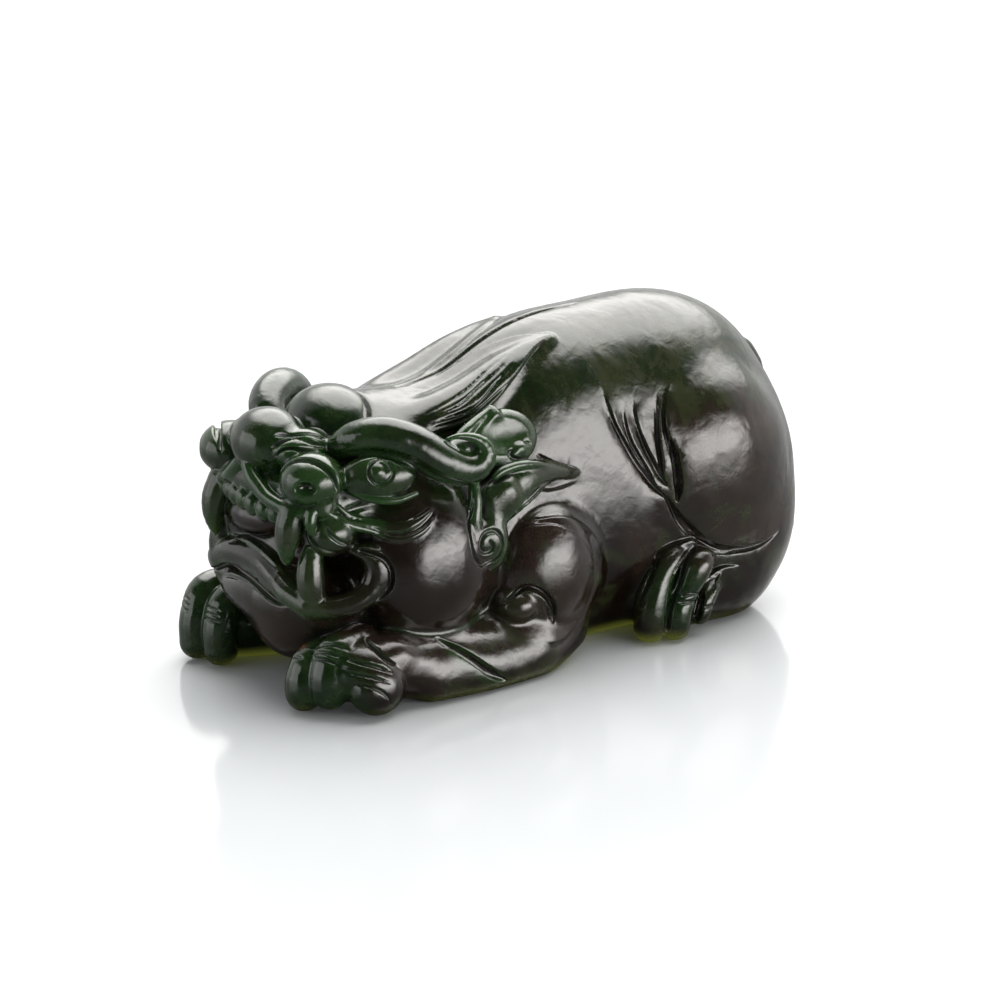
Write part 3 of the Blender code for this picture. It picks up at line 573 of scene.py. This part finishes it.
    # near forepaw: wrinkles over the toes, crescents on the outer one, the knuckle's fold
    for dz, dy in ((0.0, 0.0), (-1.0, -0.9), (-1.9, -1.4)):
        cut([(12.4, -43.4 + dy * 0.6, 10.0 + dz), (14.0, -42.6 + dy, 10.6 + dz), (15.8, -41.4 + dy, 10.4 + dz), (17.0, -39.8 + dy, 9.4 + dz)], 0.45, 0.4, ends=(0.2, 0.2))
    cut([(9.6, -45.6, 8.6), (11.4, -46.0, 9.0), (12.8, -45.0, 8.8)], 0.4, 0.35)
    cut([(16.8, -39.6, 7.8), (18.4, -39.4, 8.0), (20.2, -37.6, 7.6), (21.2, -35.6, 6.6)], 0.6, 0.5, ends=(0.2, 0.2))
    cut([(17.0, -40.4, 6.8), (18.8, -40.4, 7.0), (20.8, -38.4, 6.4), (21.6, -36.4, 5.4)], 0.4, 0.35, ends=(0.1, 0.2))
    cut([(18.6, -40.8, 5.6), (20.4, -39.4, 5.4), (21.4, -37.6, 4.4), (21.5, -36.4, 2.8)], 0.4, 0.35, ends=(0.1, 0.2))
    cut([(15.6, -37.0, 10.4), (17.2, -37.2, 9.2), (19.4, -36.4, 8.4), (21.4, -34.4, 7.6)], 0.8, 0.7, ends=(0.2, 0.2))
    # far forepaw
    for dz in (0.0, -0.9, -1.8):
        cut([(-15.8, -44.4, 9.6 + dz), (-14.0, -44.6, 9.4 + dz), (-12.4, -45.0, 9.4 + dz), (-10.6, -43.6, 9.0 + dz)], 0.45, 0.4, ends=(0.2, 0.2))
        cut([(-19.4, -44.6, 9.8 + dz), (-17.6, -46.0, 9.8 + dz), (-16.2, -45.4, 9.6 + dz)], 0.4, 0.35, ends=(0.2, 0.2))
    # hind foot: wrinkles on the toes, the grooves above
    for z in (7.5, 6.2):
        cut([(20.0, 17.2, z), (21.0, 19.0, z + 0.1), (20.6, 21.4, z - 0.6)], 0.45, 0.4, both=True, ends=(0.2, 0.2))
    cut([(20.2, 22.2, 4.6), (20.4, 23.8, 4.4), (20.0, 25.2, 4.2)], 0.4, 0.35, both=True)
    cut([(19.0, 16.4, 2.4), (19.2, 16.9, 5.6), (19.2, 18.0, 8.8), (19.0, 19.8, 11.4), (18.6, 21.8, 13.2)], 0.9, 0.9, both=True, ends=(0.8, 0.2))
    cut([(19.8, 17.0, 10.0), (19.4, 18.8, 12.0), (18.8, 21.0, 13.8)], 0.4, 0.4, both=True)
    cut([(19.9, 21.2, 1.2), (20.2, 21.6, 4.6), (19.8, 23.1, 7.4), (19.2, 25.4, 9.2), (18.9, 27.8, 9.9), (18.8, 30.4, 9.5)], 1.1, 1.2, both=True, ends=(0.9, 0.1), share=(0.25, 0.5))
    bead([(19.9, 24.4, 5.6), (19.5, 25.4, 7.4), (19.0, 27.2, 8.9)], 0.4, 0.35, both=True)
    cut([(17.4, 22.6, 15.2), (17.4, 18.8, 14.8), (17.6, 15.4, 13.0), (17.6, 12.8, 10.2), (17.2, 11.4, 6.6)], 1.1, 1.1, both=True, ends=(0.3, 0.3))


def ground(c):
    """The underside is ground flat and its edge eased."""
    z = c.ax[2].reshape(1, 1, -1)
    c.f = smax(c.f, -z, 0.5)


def build_clay(voxel):
    clay = Clay((-25.5, -51.5, -2.0), (25.5, 55.5, 50.5), voxel)
    body(clay)
    head(clay)
    legs(clay)
    log("forms")
    mane(clay)
    head_detail(clay)
    body_detail(clay)
    ground(clay)
    log("details")
    return clay


# ---------------------------------------------------------------- the mesh
def surface(clay):
    """Vertices (mm) and quads of the clay's skin, one vertex per crossed cell."""
    f = clay.f
    inside = f < 0
    any_, all_ = inside[:-1, :-1, :-1].copy(), inside[:-1, :-1, :-1].copy()
    for dx, dy, dz in ((0, 0, 1), (0, 1, 0), (0, 1, 1), (1, 0, 0), (1, 0, 1), (1, 1, 0), (1, 1, 1)):
        part = inside[dx:inside.shape[0] - 1 + dx, dy:inside.shape[1] - 1 + dy, dz:inside.shape[2] - 1 + dz]
        any_ |= part
        all_ &= part
    cells = np.argwhere(any_ & ~all_).astype(np.int32)
    index = np.full(any_.shape, -1, np.int32)
    index[tuple(cells.T)] = np.arange(len(cells))
    corner = {}
    for dx in (0, 1):
        for dy in (0, 1):
            for dz in (0, 1):
                corner[dx, dy, dz] = f[cells[:, 0] + dx, cells[:, 1] + dy, cells[:, 2] + dz]
    total = np.zeros((len(cells), 3), np.float64)
    count = np.zeros(len(cells))
    for axis in range(3):
        others = [i for i in range(3) if i != axis]
        for u in (0, 1):
            for v in (0, 1):
                lo_, hi_ = [0, 0, 0], [0, 0, 0]
                lo_[others[0]] = hi_[others[0]] = u
                lo_[others[1]] = hi_[others[1]] = v
                hi_[axis] = 1
                fa, fb = corner[tuple(lo_)], corner[tuple(hi_)]
                cross = (fa < 0) != (fb < 0)
                t = np.where(cross, fa / np.where(cross, fa - fb, 1), 0)
                point = np.zeros((len(cells), 3))
                point[:, others[0]] = u
                point[:, others[1]] = v
                point[:, axis] = t
                total += np.where(cross[:, None], point, 0)
                count += cross
    verts = clay.lo + clay.h * (cells + total / count[:, None])
    quads = []
    for axis in range(3):
        o1, o2 = (axis + 1) % 3, (axis + 2) % 3
        head_ = [slice(1, -1)] * 3
        head_[axis] = slice(0, -1)
        tail_ = [slice(1, -1)] * 3
        tail_[axis] = slice(1, None)
        a_, b_ = inside[tuple(head_)], inside[tuple(tail_)]
        for flip, mask in ((False, a_ & ~b_), (True, ~a_ & b_)):
            base = np.argwhere(mask)
            if not len(base):
                continue
            base[:, o1] += 1
            base[:, o2] += 1
            ring = []
            for d1, d2 in ((-1, -1), (0, -1), (0, 0), (-1, 0)):
                cell = base.copy()
                cell[:, o1] += d1
                cell[:, o2] += d2
                ring.append(index[tuple(cell.T)])
            ring = np.stack(ring, 1)
            quads.append(ring[:, ::-1] if flip else ring)
    return verts, np.concatenate(quads).astype(np.int32)


def new_mesh(name, verts, faces):
    mesh = bpy.data.meshes.new(name)
    n, k = faces.shape
    mesh.vertices.add(len(verts))
    mesh.vertices.foreach_set("co", verts.astype(np.float32).ravel())
    mesh.loops.add(n * k)
    mesh.loops.foreach_set("vertex_index", faces.ravel())
    mesh.polygons.add(n)
    mesh.polygons.foreach_set("loop_start", np.arange(0, n * k, k, dtype=np.int32))
    mesh.polygons.foreach_set("loop_total", np.full(n, k, np.int32))
    mesh.update(calc_edges=True)
    mesh.validate()
    return mesh


def keep_largest(mesh):
    """Drops any crumb that is not joined to the carving."""
    n = len(mesh.vertices)
    e = np.zeros(len(mesh.edges) * 2, np.int32)
    mesh.edges.foreach_get("vertices", e)
    e = e.reshape(-1, 2)
    label = np.arange(n)
    while True:
        low = np.minimum(label[e[:, 0]], label[e[:, 1]])
        new = label.copy()
        np.minimum.at(new, e[:, 0], low)
        np.minimum.at(new, e[:, 1], low)
        new = new[new]
        if (new == label).all():
            break
        label = new
    names, counts = np.unique(label, return_counts=True)
    if len(names) > 1:
        main = names[counts.argmax()]
        bm = bmesh.new()
        bm.from_mesh(mesh)
        bm.verts.ensure_lookup_table()
        bmesh.ops.delete(bm, geom=[bm.verts[i] for i in np.where(label != main)[0]], context="VERTS")
        bm.to_mesh(mesh)
        bm.free()
        log("dropped", int(n - counts.max()), "loose vertices")


def tidy(mesh):
    """Drops bubbles that touch the carving only along an edge, then closes any pinhole left by the thinning."""
    n = len(mesh.polygons)
    edge = np.zeros(len(mesh.loops), np.int32)
    mesh.loops.foreach_get("edge_index", edge)
    total = np.zeros(n, np.int32)
    mesh.polygons.foreach_get("loop_total", total)
    owner = np.repeat(np.arange(n), total)
    order = np.argsort(edge, kind="stable")
    uses = np.bincount(edge, minlength=len(mesh.edges))
    pairs = owner[order][uses[edge[order]] == 2].reshape(-1, 2)
    label = np.arange(n)
    while True:
        low = np.minimum(label[pairs[:, 0]], label[pairs[:, 1]])
        new = label.copy()
        np.minimum.at(new, pairs[:, 0], low)
        np.minimum.at(new, pairs[:, 1], low)
        new = new[new]
        if (new == label).all():
            break
        label = new
    names, counts = np.unique(label, return_counts=True)
    main = names[counts.argmax()]
    bm = bmesh.new()
    bm.from_mesh(mesh)
    bm.faces.ensure_lookup_table()
    bmesh.ops.delete(bm, geom=[bm.faces[i] for i in np.where(label != main)[0]], context="FACES")
    bmesh.ops.delete(bm, geom=[e for e in bm.edges if not e.link_faces], context="EDGES")
    open_edges = [e for e in bm.edges if e.is_boundary]
    patched = bmesh.ops.holes_fill(bm, edges=open_edges, sides=0)["faces"] if open_edges else []
    if patched:
        bmesh.ops.triangulate(bm, faces=patched)
    bad = sum(1 for e in bm.edges if len(e.link_faces) != 2)
    bm.to_mesh(mesh)
    bm.free()
    log("tidied", int(n - counts.max()), "faces dropped,", len(open_edges), "open edges closed,", bad, "left")


clay = build_clay(VOXEL)
verts, quads = surface(clay)
log("skin", len(verts), "vertices")

# the CAD box fixes the place and the size of the finished stone
cad_size = np.array(cad_hi) - np.array(cad_lo)
mm = float(cad_size[1]) / CAD_LENGTH       # metres per millimetre of the tables
middle = [0.5 * float(cad_lo[i] + cad_hi[i]) - CAD_MIDDLE[i] * mm for i in (0, 1)]
shift = np.array([middle[0], middle[1], float(cad_lo[2])])
mesh = new_mesh("jade_carving_stone", verts * mm + shift, quads)
keep_largest(mesh)
stone = bpy.data.objects.new("jade_carving_stone", mesh)
bpy.context.scene.collection.objects.link(stone)

triangles = 2 * len(mesh.polygons)
if triangles > FINAL_TRIANGLES:
    thin = stone.modifiers.new("thin", "DECIMATE")
    thin.decimate_type = "COLLAPSE"
    thin.ratio = FINAL_TRIANGLES / triangles
    thin.use_collapse_triangulate = True
    bpy.context.view_layer.update()
    graph = bpy.context.evaluated_depsgraph_get()
    lean = bpy.data.meshes.new_from_object(stone.evaluated_get(graph))
    stone.modifiers.clear()
    stone.data = lean
    lean.name = "jade_carving_stone"
    bpy.data.meshes.remove(mesh)
    mesh = lean
tidy(mesh)
log("mesh", len(mesh.polygons), "faces")

# what the finish needs to know about each place: its polish normal, how thin the stone is, how deep the cut
co = np.zeros(len(mesh.vertices) * 3, np.float32)
mesh.vertices.foreach_get("co", co)
points = (co.reshape(-1, 3) - shift) / mm
normals = clay.slope(points, e=0.24)
flat_base = points[:, 2] < 0.04
normals[flat_base] = (0, 0, -1)
thinness = np.zeros(len(points))
for depth, weight in ((1.6, 0.5), (3.2, 0.5)):
    thinness += weight * np.clip((clay.sample(points - normals * depth) + depth) / depth, 0, 1.2)
cavity = np.zeros(len(points))
for reach, weight in ((0.45, 0.5), (1.1, 0.5)):
    cavity += weight * np.clip(1 - clay.sample(points + normals * reach) / reach, 0, 1.2)
for name, values in (("thin_stone", thinness), ("deep_cut", cavity)):
    attribute = mesh.attributes.new(name, "FLOAT", "POINT")
    attribute.data.foreach_set("value", values.astype(np.float32))
mesh.shade_smooth()
mesh.normals_split_custom_set_from_vertices([tuple(n) for n in normals])
log("finish attributes")


# ---------------------------------------------------------------- the jade
class Net:
    """A short way to wire shader nodes."""

    def __init__(self, material, keep=False):
        material.use_nodes = True
        self.tree = material.node_tree
        if not keep:
            self.tree.nodes.clear()

    def add(self, kind, **settings):
        node = self.tree.nodes.new(kind)
        for key, value in settings.items():
            setattr(node, key, value)
        return node

    def link(self, a, b):
        self.tree.links.new(a, b)

    def put(self, socket, value):
        if isinstance(value, (int, float, tuple)):
            socket.default_value = value
        else:
            self.link(value, socket)

    def math(self, how, a, b=0.0, clamp=False):
        node = self.add("ShaderNodeMath", operation=how, use_clamp=clamp)
        self.put(node.inputs[0], a)
        self.put(node.inputs[1], b)
        return node.outputs[0]

    def noise(self, vector, scale, detail=4.0, rough=0.5, warp=0.0):
        node = self.add("ShaderNodeTexNoise")
        self.link(vector, node.inputs["Vector"])
        node.inputs["Scale"].default_value = scale
        node.inputs["Detail"].default_value = detail
        node.inputs["Roughness"].default_value = rough
        node.inputs["Distortion"].default_value = warp
        return node.outputs["Fac"]

    def ramp(self, value, stops):
        node = self.add("ShaderNodeValToRGB")
        self.link(value, node.inputs[0])
        while len(node.color_ramp.elements) > 1:
            node.color_ramp.elements.remove(node.color_ramp.elements[-1])
        for i, (at, shade) in enumerate(stops):
            e = node.color_ramp.elements[0] if i == 0 else node.color_ramp.elements.new(at)
            e.position = at
            e.color = (shade,) * 3 + (1,) if isinstance(shade, (int, float)) else tuple(shade) + (1,)
        return node.outputs[0]

    def mix(self, fac, a, b):
        node = self.add("ShaderNodeMix", data_type="RGBA")
        self.put(node.inputs[0], fac)
        for socket, value in ((node.inputs[6], a), (node.inputs[7], b)):
            if isinstance(value, tuple) and len(value) == 3:
                value = value + (1.0,)
            self.put(socket, value)
        return node.outputs[2]

    def fade(self, value, lo, hi, a=0.0, b=1.0):
        node = self.add("ShaderNodeMapRange", interpolation_type="SMOOTHSTEP")
        self.link(value, node.inputs[0])
        node.inputs[1].default_value = lo
        node.inputs[2].default_value = hi
        node.inputs[3].default_value = a
        node.inputs[4].default_value = b
        return node.outputs[0]

    def near(self, vector, centre, reach, core=0.0):
        """1 at a place, fading to 0 at reach (mm)."""
        node = self.add("ShaderNodeVectorMath", operation="DISTANCE")
        self.link(vector, node.inputs[0])
        node.inputs[1].default_value = centre
        return self.fade(node.outputs["Value"], core, reach, 1.0, 0.0)


jade = bpy.data.materials.new("nephrite_jade")
net = Net(jade)
where = net.add("ShaderNodeTexCoord").outputs["Object"]
to_mm = net.add("ShaderNodeVectorMath", operation="MULTIPLY_ADD")
net.link(where, to_mm.inputs[0])
to_mm.inputs[1].default_value = (1 / mm,) * 3
to_mm.inputs[2].default_value = tuple(-shift / mm)
P = to_mm.outputs[0]
split = net.add("ShaderNodeSeparateXYZ")
net.link(P, split.inputs[0])
X, Y, Z = split.outputs
thin_attr = net.add("ShaderNodeAttribute", attribute_name="thin_stone").outputs["Fac"]
deep_attr = net.add("ShaderNodeAttribute", attribute_name="deep_cut").outputs["Fac"]

BLACK_BROWN = (0.0060, 0.0033, 0.0022)
PLUM = (0.0175, 0.0112, 0.0078)
DEEP_GREEN = (0.0034, 0.0115, 0.0020)
MOSS = (0.0200, 0.0255, 0.0095)
JADE_GREEN = (0.0092, 0.0235, 0.0060)
# the next two are painted glow, standing for light let through thin stone
THIN_GLOW_GREEN = (0.0140, 0.0410, 0.0100)
THIN_GLOW_OLIVE = (0.040, 0.050, 0.006)
GREY_GREEN = (0.020, 0.028, 0.018)
# the next two are painted shade for cuts and hollows
CUT_SHADE_GREEN = (0.0035, 0.0150, 0.0012)
CUT_SHADE_BLACK = (0.0015, 0.0012, 0.0008)

cloud = net.noise(P, 0.045, 5, 0.55, 0.6)
vein = net.noise(P, 0.11, 6, 0.6, 1.4)
fleck = net.noise(P, 0.55, 4, 0.6, 0.3)
fibre = net.noise(P, 2.6, 3, 0.55, 0.2)

# the body: brown-black with plum clouds, green where the veins run
base = net.mix(net.fade(cloud, 0.43, 0.59), BLACK_BROWN, PLUM)
green_cloud = net.mix(net.fade(vein, 0.42, 0.62), DEEP_GREEN, MOSS)
# a green band lies along the back and the neck, and the whole face is greener
height = net.math("ADD", Z, net.math("MULTIPLY", net.math("SUBTRACT", vein, 0.5), 26.0))
band = net.fade(height, 30.0, 40.0)
lower = net.fade(height, 8.0, 22.0, 1.0, 0.0)
front = net.math("ADD", Y, net.math("MULTIPLY", net.math("SUBTRACT", cloud, 0.5), 30.0))
# green: nose, eyes, brows and fangs, then the toes; lips, chin and cheeks stay brown
drift = net.add("ShaderNodeVectorMath", operation="MULTIPLY_ADD")
wander = net.add("ShaderNodeTexNoise", noise_dimensions="3D")
net.link(P, wander.inputs["Vector"])
wander.inputs["Scale"].default_value = 0.14
net.link(wander.outputs["Color"], drift.inputs[0])
drift.inputs[1].default_value = (9.0, 9.0, 9.0)
centred = net.add("ShaderNodeVectorMath", operation="ADD")
net.link(P, centred.inputs[0])
centred.inputs[1].default_value = (-4.5, -4.5, -4.5)
net.link(centred.outputs[0], drift.inputs[2])
Q = drift.outputs[0]
face = net.near(Q, (10.0, -38.0, 36.0), 16.0, 8.0)
for place, reach, core in (((-9.0, -36.0, 37.0), 16.0, 9.0), ((19.0, -21.0, 35.0), 9.0, 4.0), ((14.5, -44.0, 4.5), 9.5, 5.0),
                           ((-16.0, -42.0, 5.5), 12.0, 6.5), ((19.0, 17.0, 7.0), 7.0, 2.0)):
    face = net.math("MAXIMUM", face, net.near(Q, place, reach, core))
mane_green = net.near(P, (17.0, -13.0, 34.0), 13.0, 2.0)
greenness = net.math("MAXIMUM", net.math("MULTIPLY", band, 0.85), net.math("MAXIMUM", face, mane_green))
greenness = net.math("MAXIMUM", greenness, net.fade(vein, 0.50, 0.64, 0.0, 0.6))
tone = net.mix(greenness, base, green_cloud)
face_tone = net.mix(net.fade(vein, 0.38, 0.62), DEEP_GREEN, JADE_GREEN)
tone = net.mix(net.math("MULTIPLY", face, 0.8), tone, face_tone)
# brown stays in the cheek and under the eye
cheek = net.math("MULTIPLY", net.near(P, (18.0, -27.0, 20.0), 15.0, 5.0), net.fade(cloud, 0.35, 0.55))
tone = net.mix(net.math("MULTIPLY", cheek, 0.8), tone, BLACK_BROWN)
# and in the fold round the mouth's corner
fold = net.near(P, (15.0, -35.6, 18.6), 9.0, 4.8)
tone = net.mix(net.math("MULTIPLY", fold, 0.85), tone, BLACK_BROWN)
# painted glow: the light that thin stone lets in is painted into the colour, clear green, olive at the extreme edges
glow = net.fade(thin_attr, 0.10, 0.75)
glow = net.math("MULTIPLY", glow, net.fade(front, -16.0, -2.0, 1.0, 0.25))
glow = net.math("MULTIPLY", glow, net.fade(fold, 0.0, 1.0, 1.0, 0.2))
tone = net.mix(net.math("MULTIPLY", glow, 0.75), tone, THIN_GLOW_GREEN)
# painted glow, olive, on the far side's thinnest stone
far_thin_glow = net.math("MULTIPLY", net.fade(thin_attr, 0.35, 0.95), net.fade(X, -4.0, -12.0))
tone = net.mix(net.math("MULTIPLY", far_thin_glow, 0.6), tone, THIN_GLOW_OLIVE)
# flecks and fibres
tone = net.mix(net.fade(fleck, 0.60, 0.74, 0.0, 0.55), tone, BLACK_BROWN)
tone = net.mix(net.fade(fleck, 0.40, 0.28, 0.0, 0.22), tone, GREY_GREEN)
bright = net.math("MULTIPLY_ADD", fibre, 0.5)
bright.node.inputs[2].default_value = 0.75
lit = net.add("ShaderNodeVectorMath", operation="SCALE")
net.link(tone, lit.inputs[0])
net.link(bright, lit.inputs["Scale"])
tone = lit.outputs[0]
# a russet speck of old skin at the chin
tone = net.mix(net.math("MULTIPLY", net.near(P, (10.6, -44.2, 10.2), 1.4, 0.3), net.fade(fibre, 0.40, 0.52)), tone, (0.24, 0.055, 0.018))
# the olive blotch in the back's green
tone = net.mix(net.math("MULTIPLY", net.near(P, (4.0, 22.0, 46.0), 5.0, 1.0), 0.7), tone, (0.010, 0.008, 0.003))
# painted shade: cuts and hollows are darkened in the colour, black-brown, dark green in the face; their lesser polish
# is the rougher finish set below
cut_shade_tone = net.mix(net.math("MULTIPLY", face, net.fade(vein, 0.35, 0.55)), CUT_SHADE_BLACK, CUT_SHADE_GREEN)
tone = net.mix(net.fade(deep_attr, 0.30, 0.95, 0.0, 0.75), tone, cut_shade_tone)

# painted glow: the light that creeps in under the foot of the stone is painted into its colour, yellow-green
foot = net.fade(Z, 0.3, 2.4, 1.0, 0.0)
tone = net.mix(net.math("MULTIPLY", foot, 0.6), tone, (0.060, 0.066, 0.014))

shader = net.add("ShaderNodeBsdfPrincipled")
net.link(tone, shader.inputs["Base Color"])
shader.inputs["IOR"].default_value = 1.62
# painted glow, made as emission: where the foot thins out under the flank and the far paw, a yellow-green light shines
# from the stone as if coming through
leak = net.math("MAXIMUM", net.near(P, (15.0, 8.0, 0.0), 18.0, 8.0), net.near(P, (-14.0, -34.0, 0.0), 12.0, 5.0))
leak = net.math("MULTIPLY", leak, net.fade(Z, 0.2, 2.6, 1.0, 0.0))
shader.inputs["Emission Color"].default_value = (0.060, 0.066, 0.010, 1)
net.link(leak, shader.inputs["Emission Strength"])
smear = net.noise(P, 0.9, 5, 0.6, 0.8)
rough = net.math("ADD", net.fade(smear, 0.3, 0.7, 0.11, 0.19), net.fade(deep_attr, 0.15, 0.9, 0.0, 0.25))
net.link(rough, shader.inputs["Roughness"])
shader.inputs["Subsurface Weight"].default_value = 0.35
shader.inputs["Subsurface Radius"].default_value = (0.5, 1.0, 0.45)
shader.inputs["Subsurface Scale"].default_value = 2.2 * mm
# hand polish: broad ripples, then fine wheel marks
ripple = net.noise(P, 0.38, 3, 0.5, 0.4)
marks = net.noise(P, 3.2, 4, 0.6, 1.2)
swell = net.noise(P, 0.13, 2, 0.5, 0.5)
bump0 = net.add("ShaderNodeBump")
bump0.inputs["Strength"].default_value = 1.0
bump0.inputs["Distance"].default_value = 0.26 * mm
net.link(swell, bump0.inputs["Height"])
bump1 = net.add("ShaderNodeBump")
net.link(bump0.outputs[0], bump1.inputs["Normal"])
bump1.inputs["Strength"].default_value = 0.35
bump1.inputs["Distance"].default_value = 0.28 * mm
net.link(ripple, bump1.inputs["Height"])
bump2 = net.add("ShaderNodeBump")
bump2.inputs["Strength"].default_value = 0.22
bump2.inputs["Distance"].default_value = 0.03 * mm
net.link(marks, bump2.inputs["Height"])
net.link(bump1.outputs[0], bump2.inputs["Normal"])
net.link(bump2.outputs[0], shader.inputs["Normal"])
out = net.add("ShaderNodeOutputMaterial")
net.link(shader.outputs[0], out.inputs["Surface"])

mesh.materials.clear()
mesh.materials.append(jade)
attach(stone, "root")
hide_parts("jade_carving")


# ---------------------------------------------------------------- the stage
FLOOR_SHADE = (0.530, 0.554, 0.566)
TOP = (125.0, 58.0, 24.0, 46.0, 5.2)            # azimuth, elevation, full within, gone beyond, brightness
SIDE = (22.0, 12.0, 36.0, 0.16, 0.50, 7.6)    # azimuth, full within, gone beyond, full below, gone above, brightness
ROOM, FILL = 0.03, 0.32         # what polish sees towards the camera, what matt surfaces get from the room


def plain(name, colour, rough=0.5, **more):
    material = bpy.data.materials.new(name)
    material.use_nodes = True
    shader_ = material.node_tree.nodes["Principled BSDF"]
    shader_.inputs["Base Color"].default_value = colour + (1,)
    shader_.inputs["Roughness"].default_value = rough
    for key, value in more.items():
        shader_.inputs[key].default_value = value
    return material


floor_mesh = bpy.data.meshes.new("floor")
bm = bmesh.new()
bmesh.ops.create_grid(bm, x_segments=2, y_segments=2, size=4.0)
bm.to_mesh(floor_mesh)
bm.free()
floor = bpy.data.objects.new("floor", floor_mesh)
floor.location = (0, 0, -0.0001)
bpy.context.scene.collection.objects.link(floor)
acrylic = plain("white_acrylic", FLOOR_SHADE, 0.11, IOR=1.5)
under = Net(acrylic, keep=True)
# painted shade in reflections: to glossy rays the floor shows only 0.22 of its colour, so the stone's polish reflects a
# darker floor
path = under.add("ShaderNodeLightPath").outputs["Is Glossy Ray"]
under.link(under.mix(path, FLOOR_SHADE, tuple(0.22 * v for v in FLOOR_SHADE)), acrylic.node_tree.nodes["Principled BSDF"].inputs["Base Color"])
floor_mesh.materials.append(acrylic)

scene = bpy.context.scene
scene.view_settings.view_transform = "Standard"
scene.view_settings.look = "None"

# a white studio behind and beside the stone; towards the camera the room is dim, which only polish sees
world = bpy.data.worlds.new("studio")
scene.world = world
world.use_nodes = True
sky = Net(world)
ray = sky.add("ShaderNodeLightPath")
geo = sky.add("ShaderNodeTexCoord").outputs["Generated"]
toward = sky.add("ShaderNodeVectorMath", operation="DOT_PRODUCT")
sky.link(geo, toward.inputs[0])
toward.inputs[1].default_value = (math.sin(_a), -math.cos(_a), 0.0)
dim = sky.fade(toward.outputs["Value"], -0.35, 0.25, 1.0, ROOM)
seen = sky.math("ADD", sky.math("MULTIPLY", ray.outputs["Is Glossy Ray"], sky.math("SUBTRACT", dim, 1.0)), 1.0)
seen = sky.math("MULTIPLY", seen, sky.math("SUBTRACT", 1.0, sky.math("MULTIPLY", ray.outputs["Is Diffuse Ray"], 1.0 - FILL)))
back = sky.add("ShaderNodeBackground")
back.inputs[0].default_value = (1, 1, 1, 1)
sky.link(seen, back.inputs[1])
# the side light: a big diffused window low on the stone's near side, its edges soft
side_light = sky.add("ShaderNodeVectorMath", operation="DOT_PRODUCT")
sky.link(geo, side_light.inputs[0])
side_light.inputs[1].default_value = (math.cos(math.radians(SIDE[0])), math.sin(math.radians(SIDE[0])), 0.0)
parts = sky.add("ShaderNodeSeparateXYZ")
sky.link(geo, parts.inputs[0])
window = sky.fade(side_light.outputs["Value"], math.cos(math.radians(SIDE[2])), math.cos(math.radians(SIDE[1])), 0.0, SIDE[5])
window = sky.math("MULTIPLY", window, sky.fade(parts.outputs[2], SIDE[4], SIDE[3], 0.0, 1.0))
# the top light: a wide diffuser above and behind the stone
top_light = sky.add("ShaderNodeVectorMath", operation="DOT_PRODUCT")
sky.link(geo, top_light.inputs[0])
top_az, top_el = math.radians(TOP[0]), math.radians(TOP[1])
top_light.inputs[1].default_value = (math.cos(top_az) * math.cos(top_el), math.sin(top_az) * math.cos(top_el), math.sin(top_el))
diffuser = sky.fade(top_light.outputs["Value"], math.cos(math.radians(TOP[3])), math.cos(math.radians(TOP[2])), 0.0, TOP[4])
window = sky.math("ADD", window, diffuser)
glowing = sky.add("ShaderNodeBackground")
glowing.inputs[0].default_value = (1.0, 0.972, 0.955, 1)
sky.link(window, glowing.inputs[1])
both_lights = sky.add("ShaderNodeAddShader")
sky.link(back.outputs[0], both_lights.inputs[0])
sky.link(glowing.outputs[0], both_lights.inputs[1])
world_out = sky.add("ShaderNodeOutputWorld")
sky.link(both_lights.outputs[0], world_out.inputs[0])


def softbox(name, place, aim, size, power, colour=(1, 1, 1), spread=180.0):
    data = bpy.data.lights.new(name, "AREA")
    data.shape = "RECTANGLE"
    data.size, data.size_y = size
    data.energy = power
    data.color = colour
    data.spread = math.radians(spread)
    light = bpy.data.objects.new(name, data)
    light.location = place
    light.rotation_euler = (Vector(aim) - Vector(place)).to_track_quat("-Z", "Y").to_euler()
    scene.collection.objects.link(light)
    return light


def bearing(azimuth, elevation, distance):
    """A place seen from the stone: azimuth in degrees from +X towards +Y."""
    az, el = math.radians(azimuth), math.radians(elevation)
    return (distance * math.cos(az) * math.cos(el), distance * math.sin(az) * math.cos(el), 0.02 + distance * math.sin(el))


def panel(name, azimuth, elevation, distance, size, glow, colour=(1, 1, 1)):
    """A softbox of a given brightness: glow is what its face shows, white being 1."""
    return softbox(name, bearing(azimuth, elevation, distance), (0, 0, 0.02), size, glow * math.pi * size[0] * size[1], colour)


panel("left", -105, 14, 0.95, (0.95, 0.50), 1.7)

camera_data = bpy.data.cameras.new("camera")
camera_data.sensor_width = 36.0
camera_data.lens = 36.0 * DISTANCE * PER_MM / 1000.0
camera_data.clip_start = 0.01
camera = bpy.data.objects.new("camera", camera_data)
camera.location = tuple(EYE_POINT * mm + shift)
camera.rotation_euler = Vector(tuple(-BACK)).to_track_quat("-Z", "Y").to_euler()
scene.collection.objects.link(camera)
scene.camera = camera

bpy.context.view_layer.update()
log("ready")
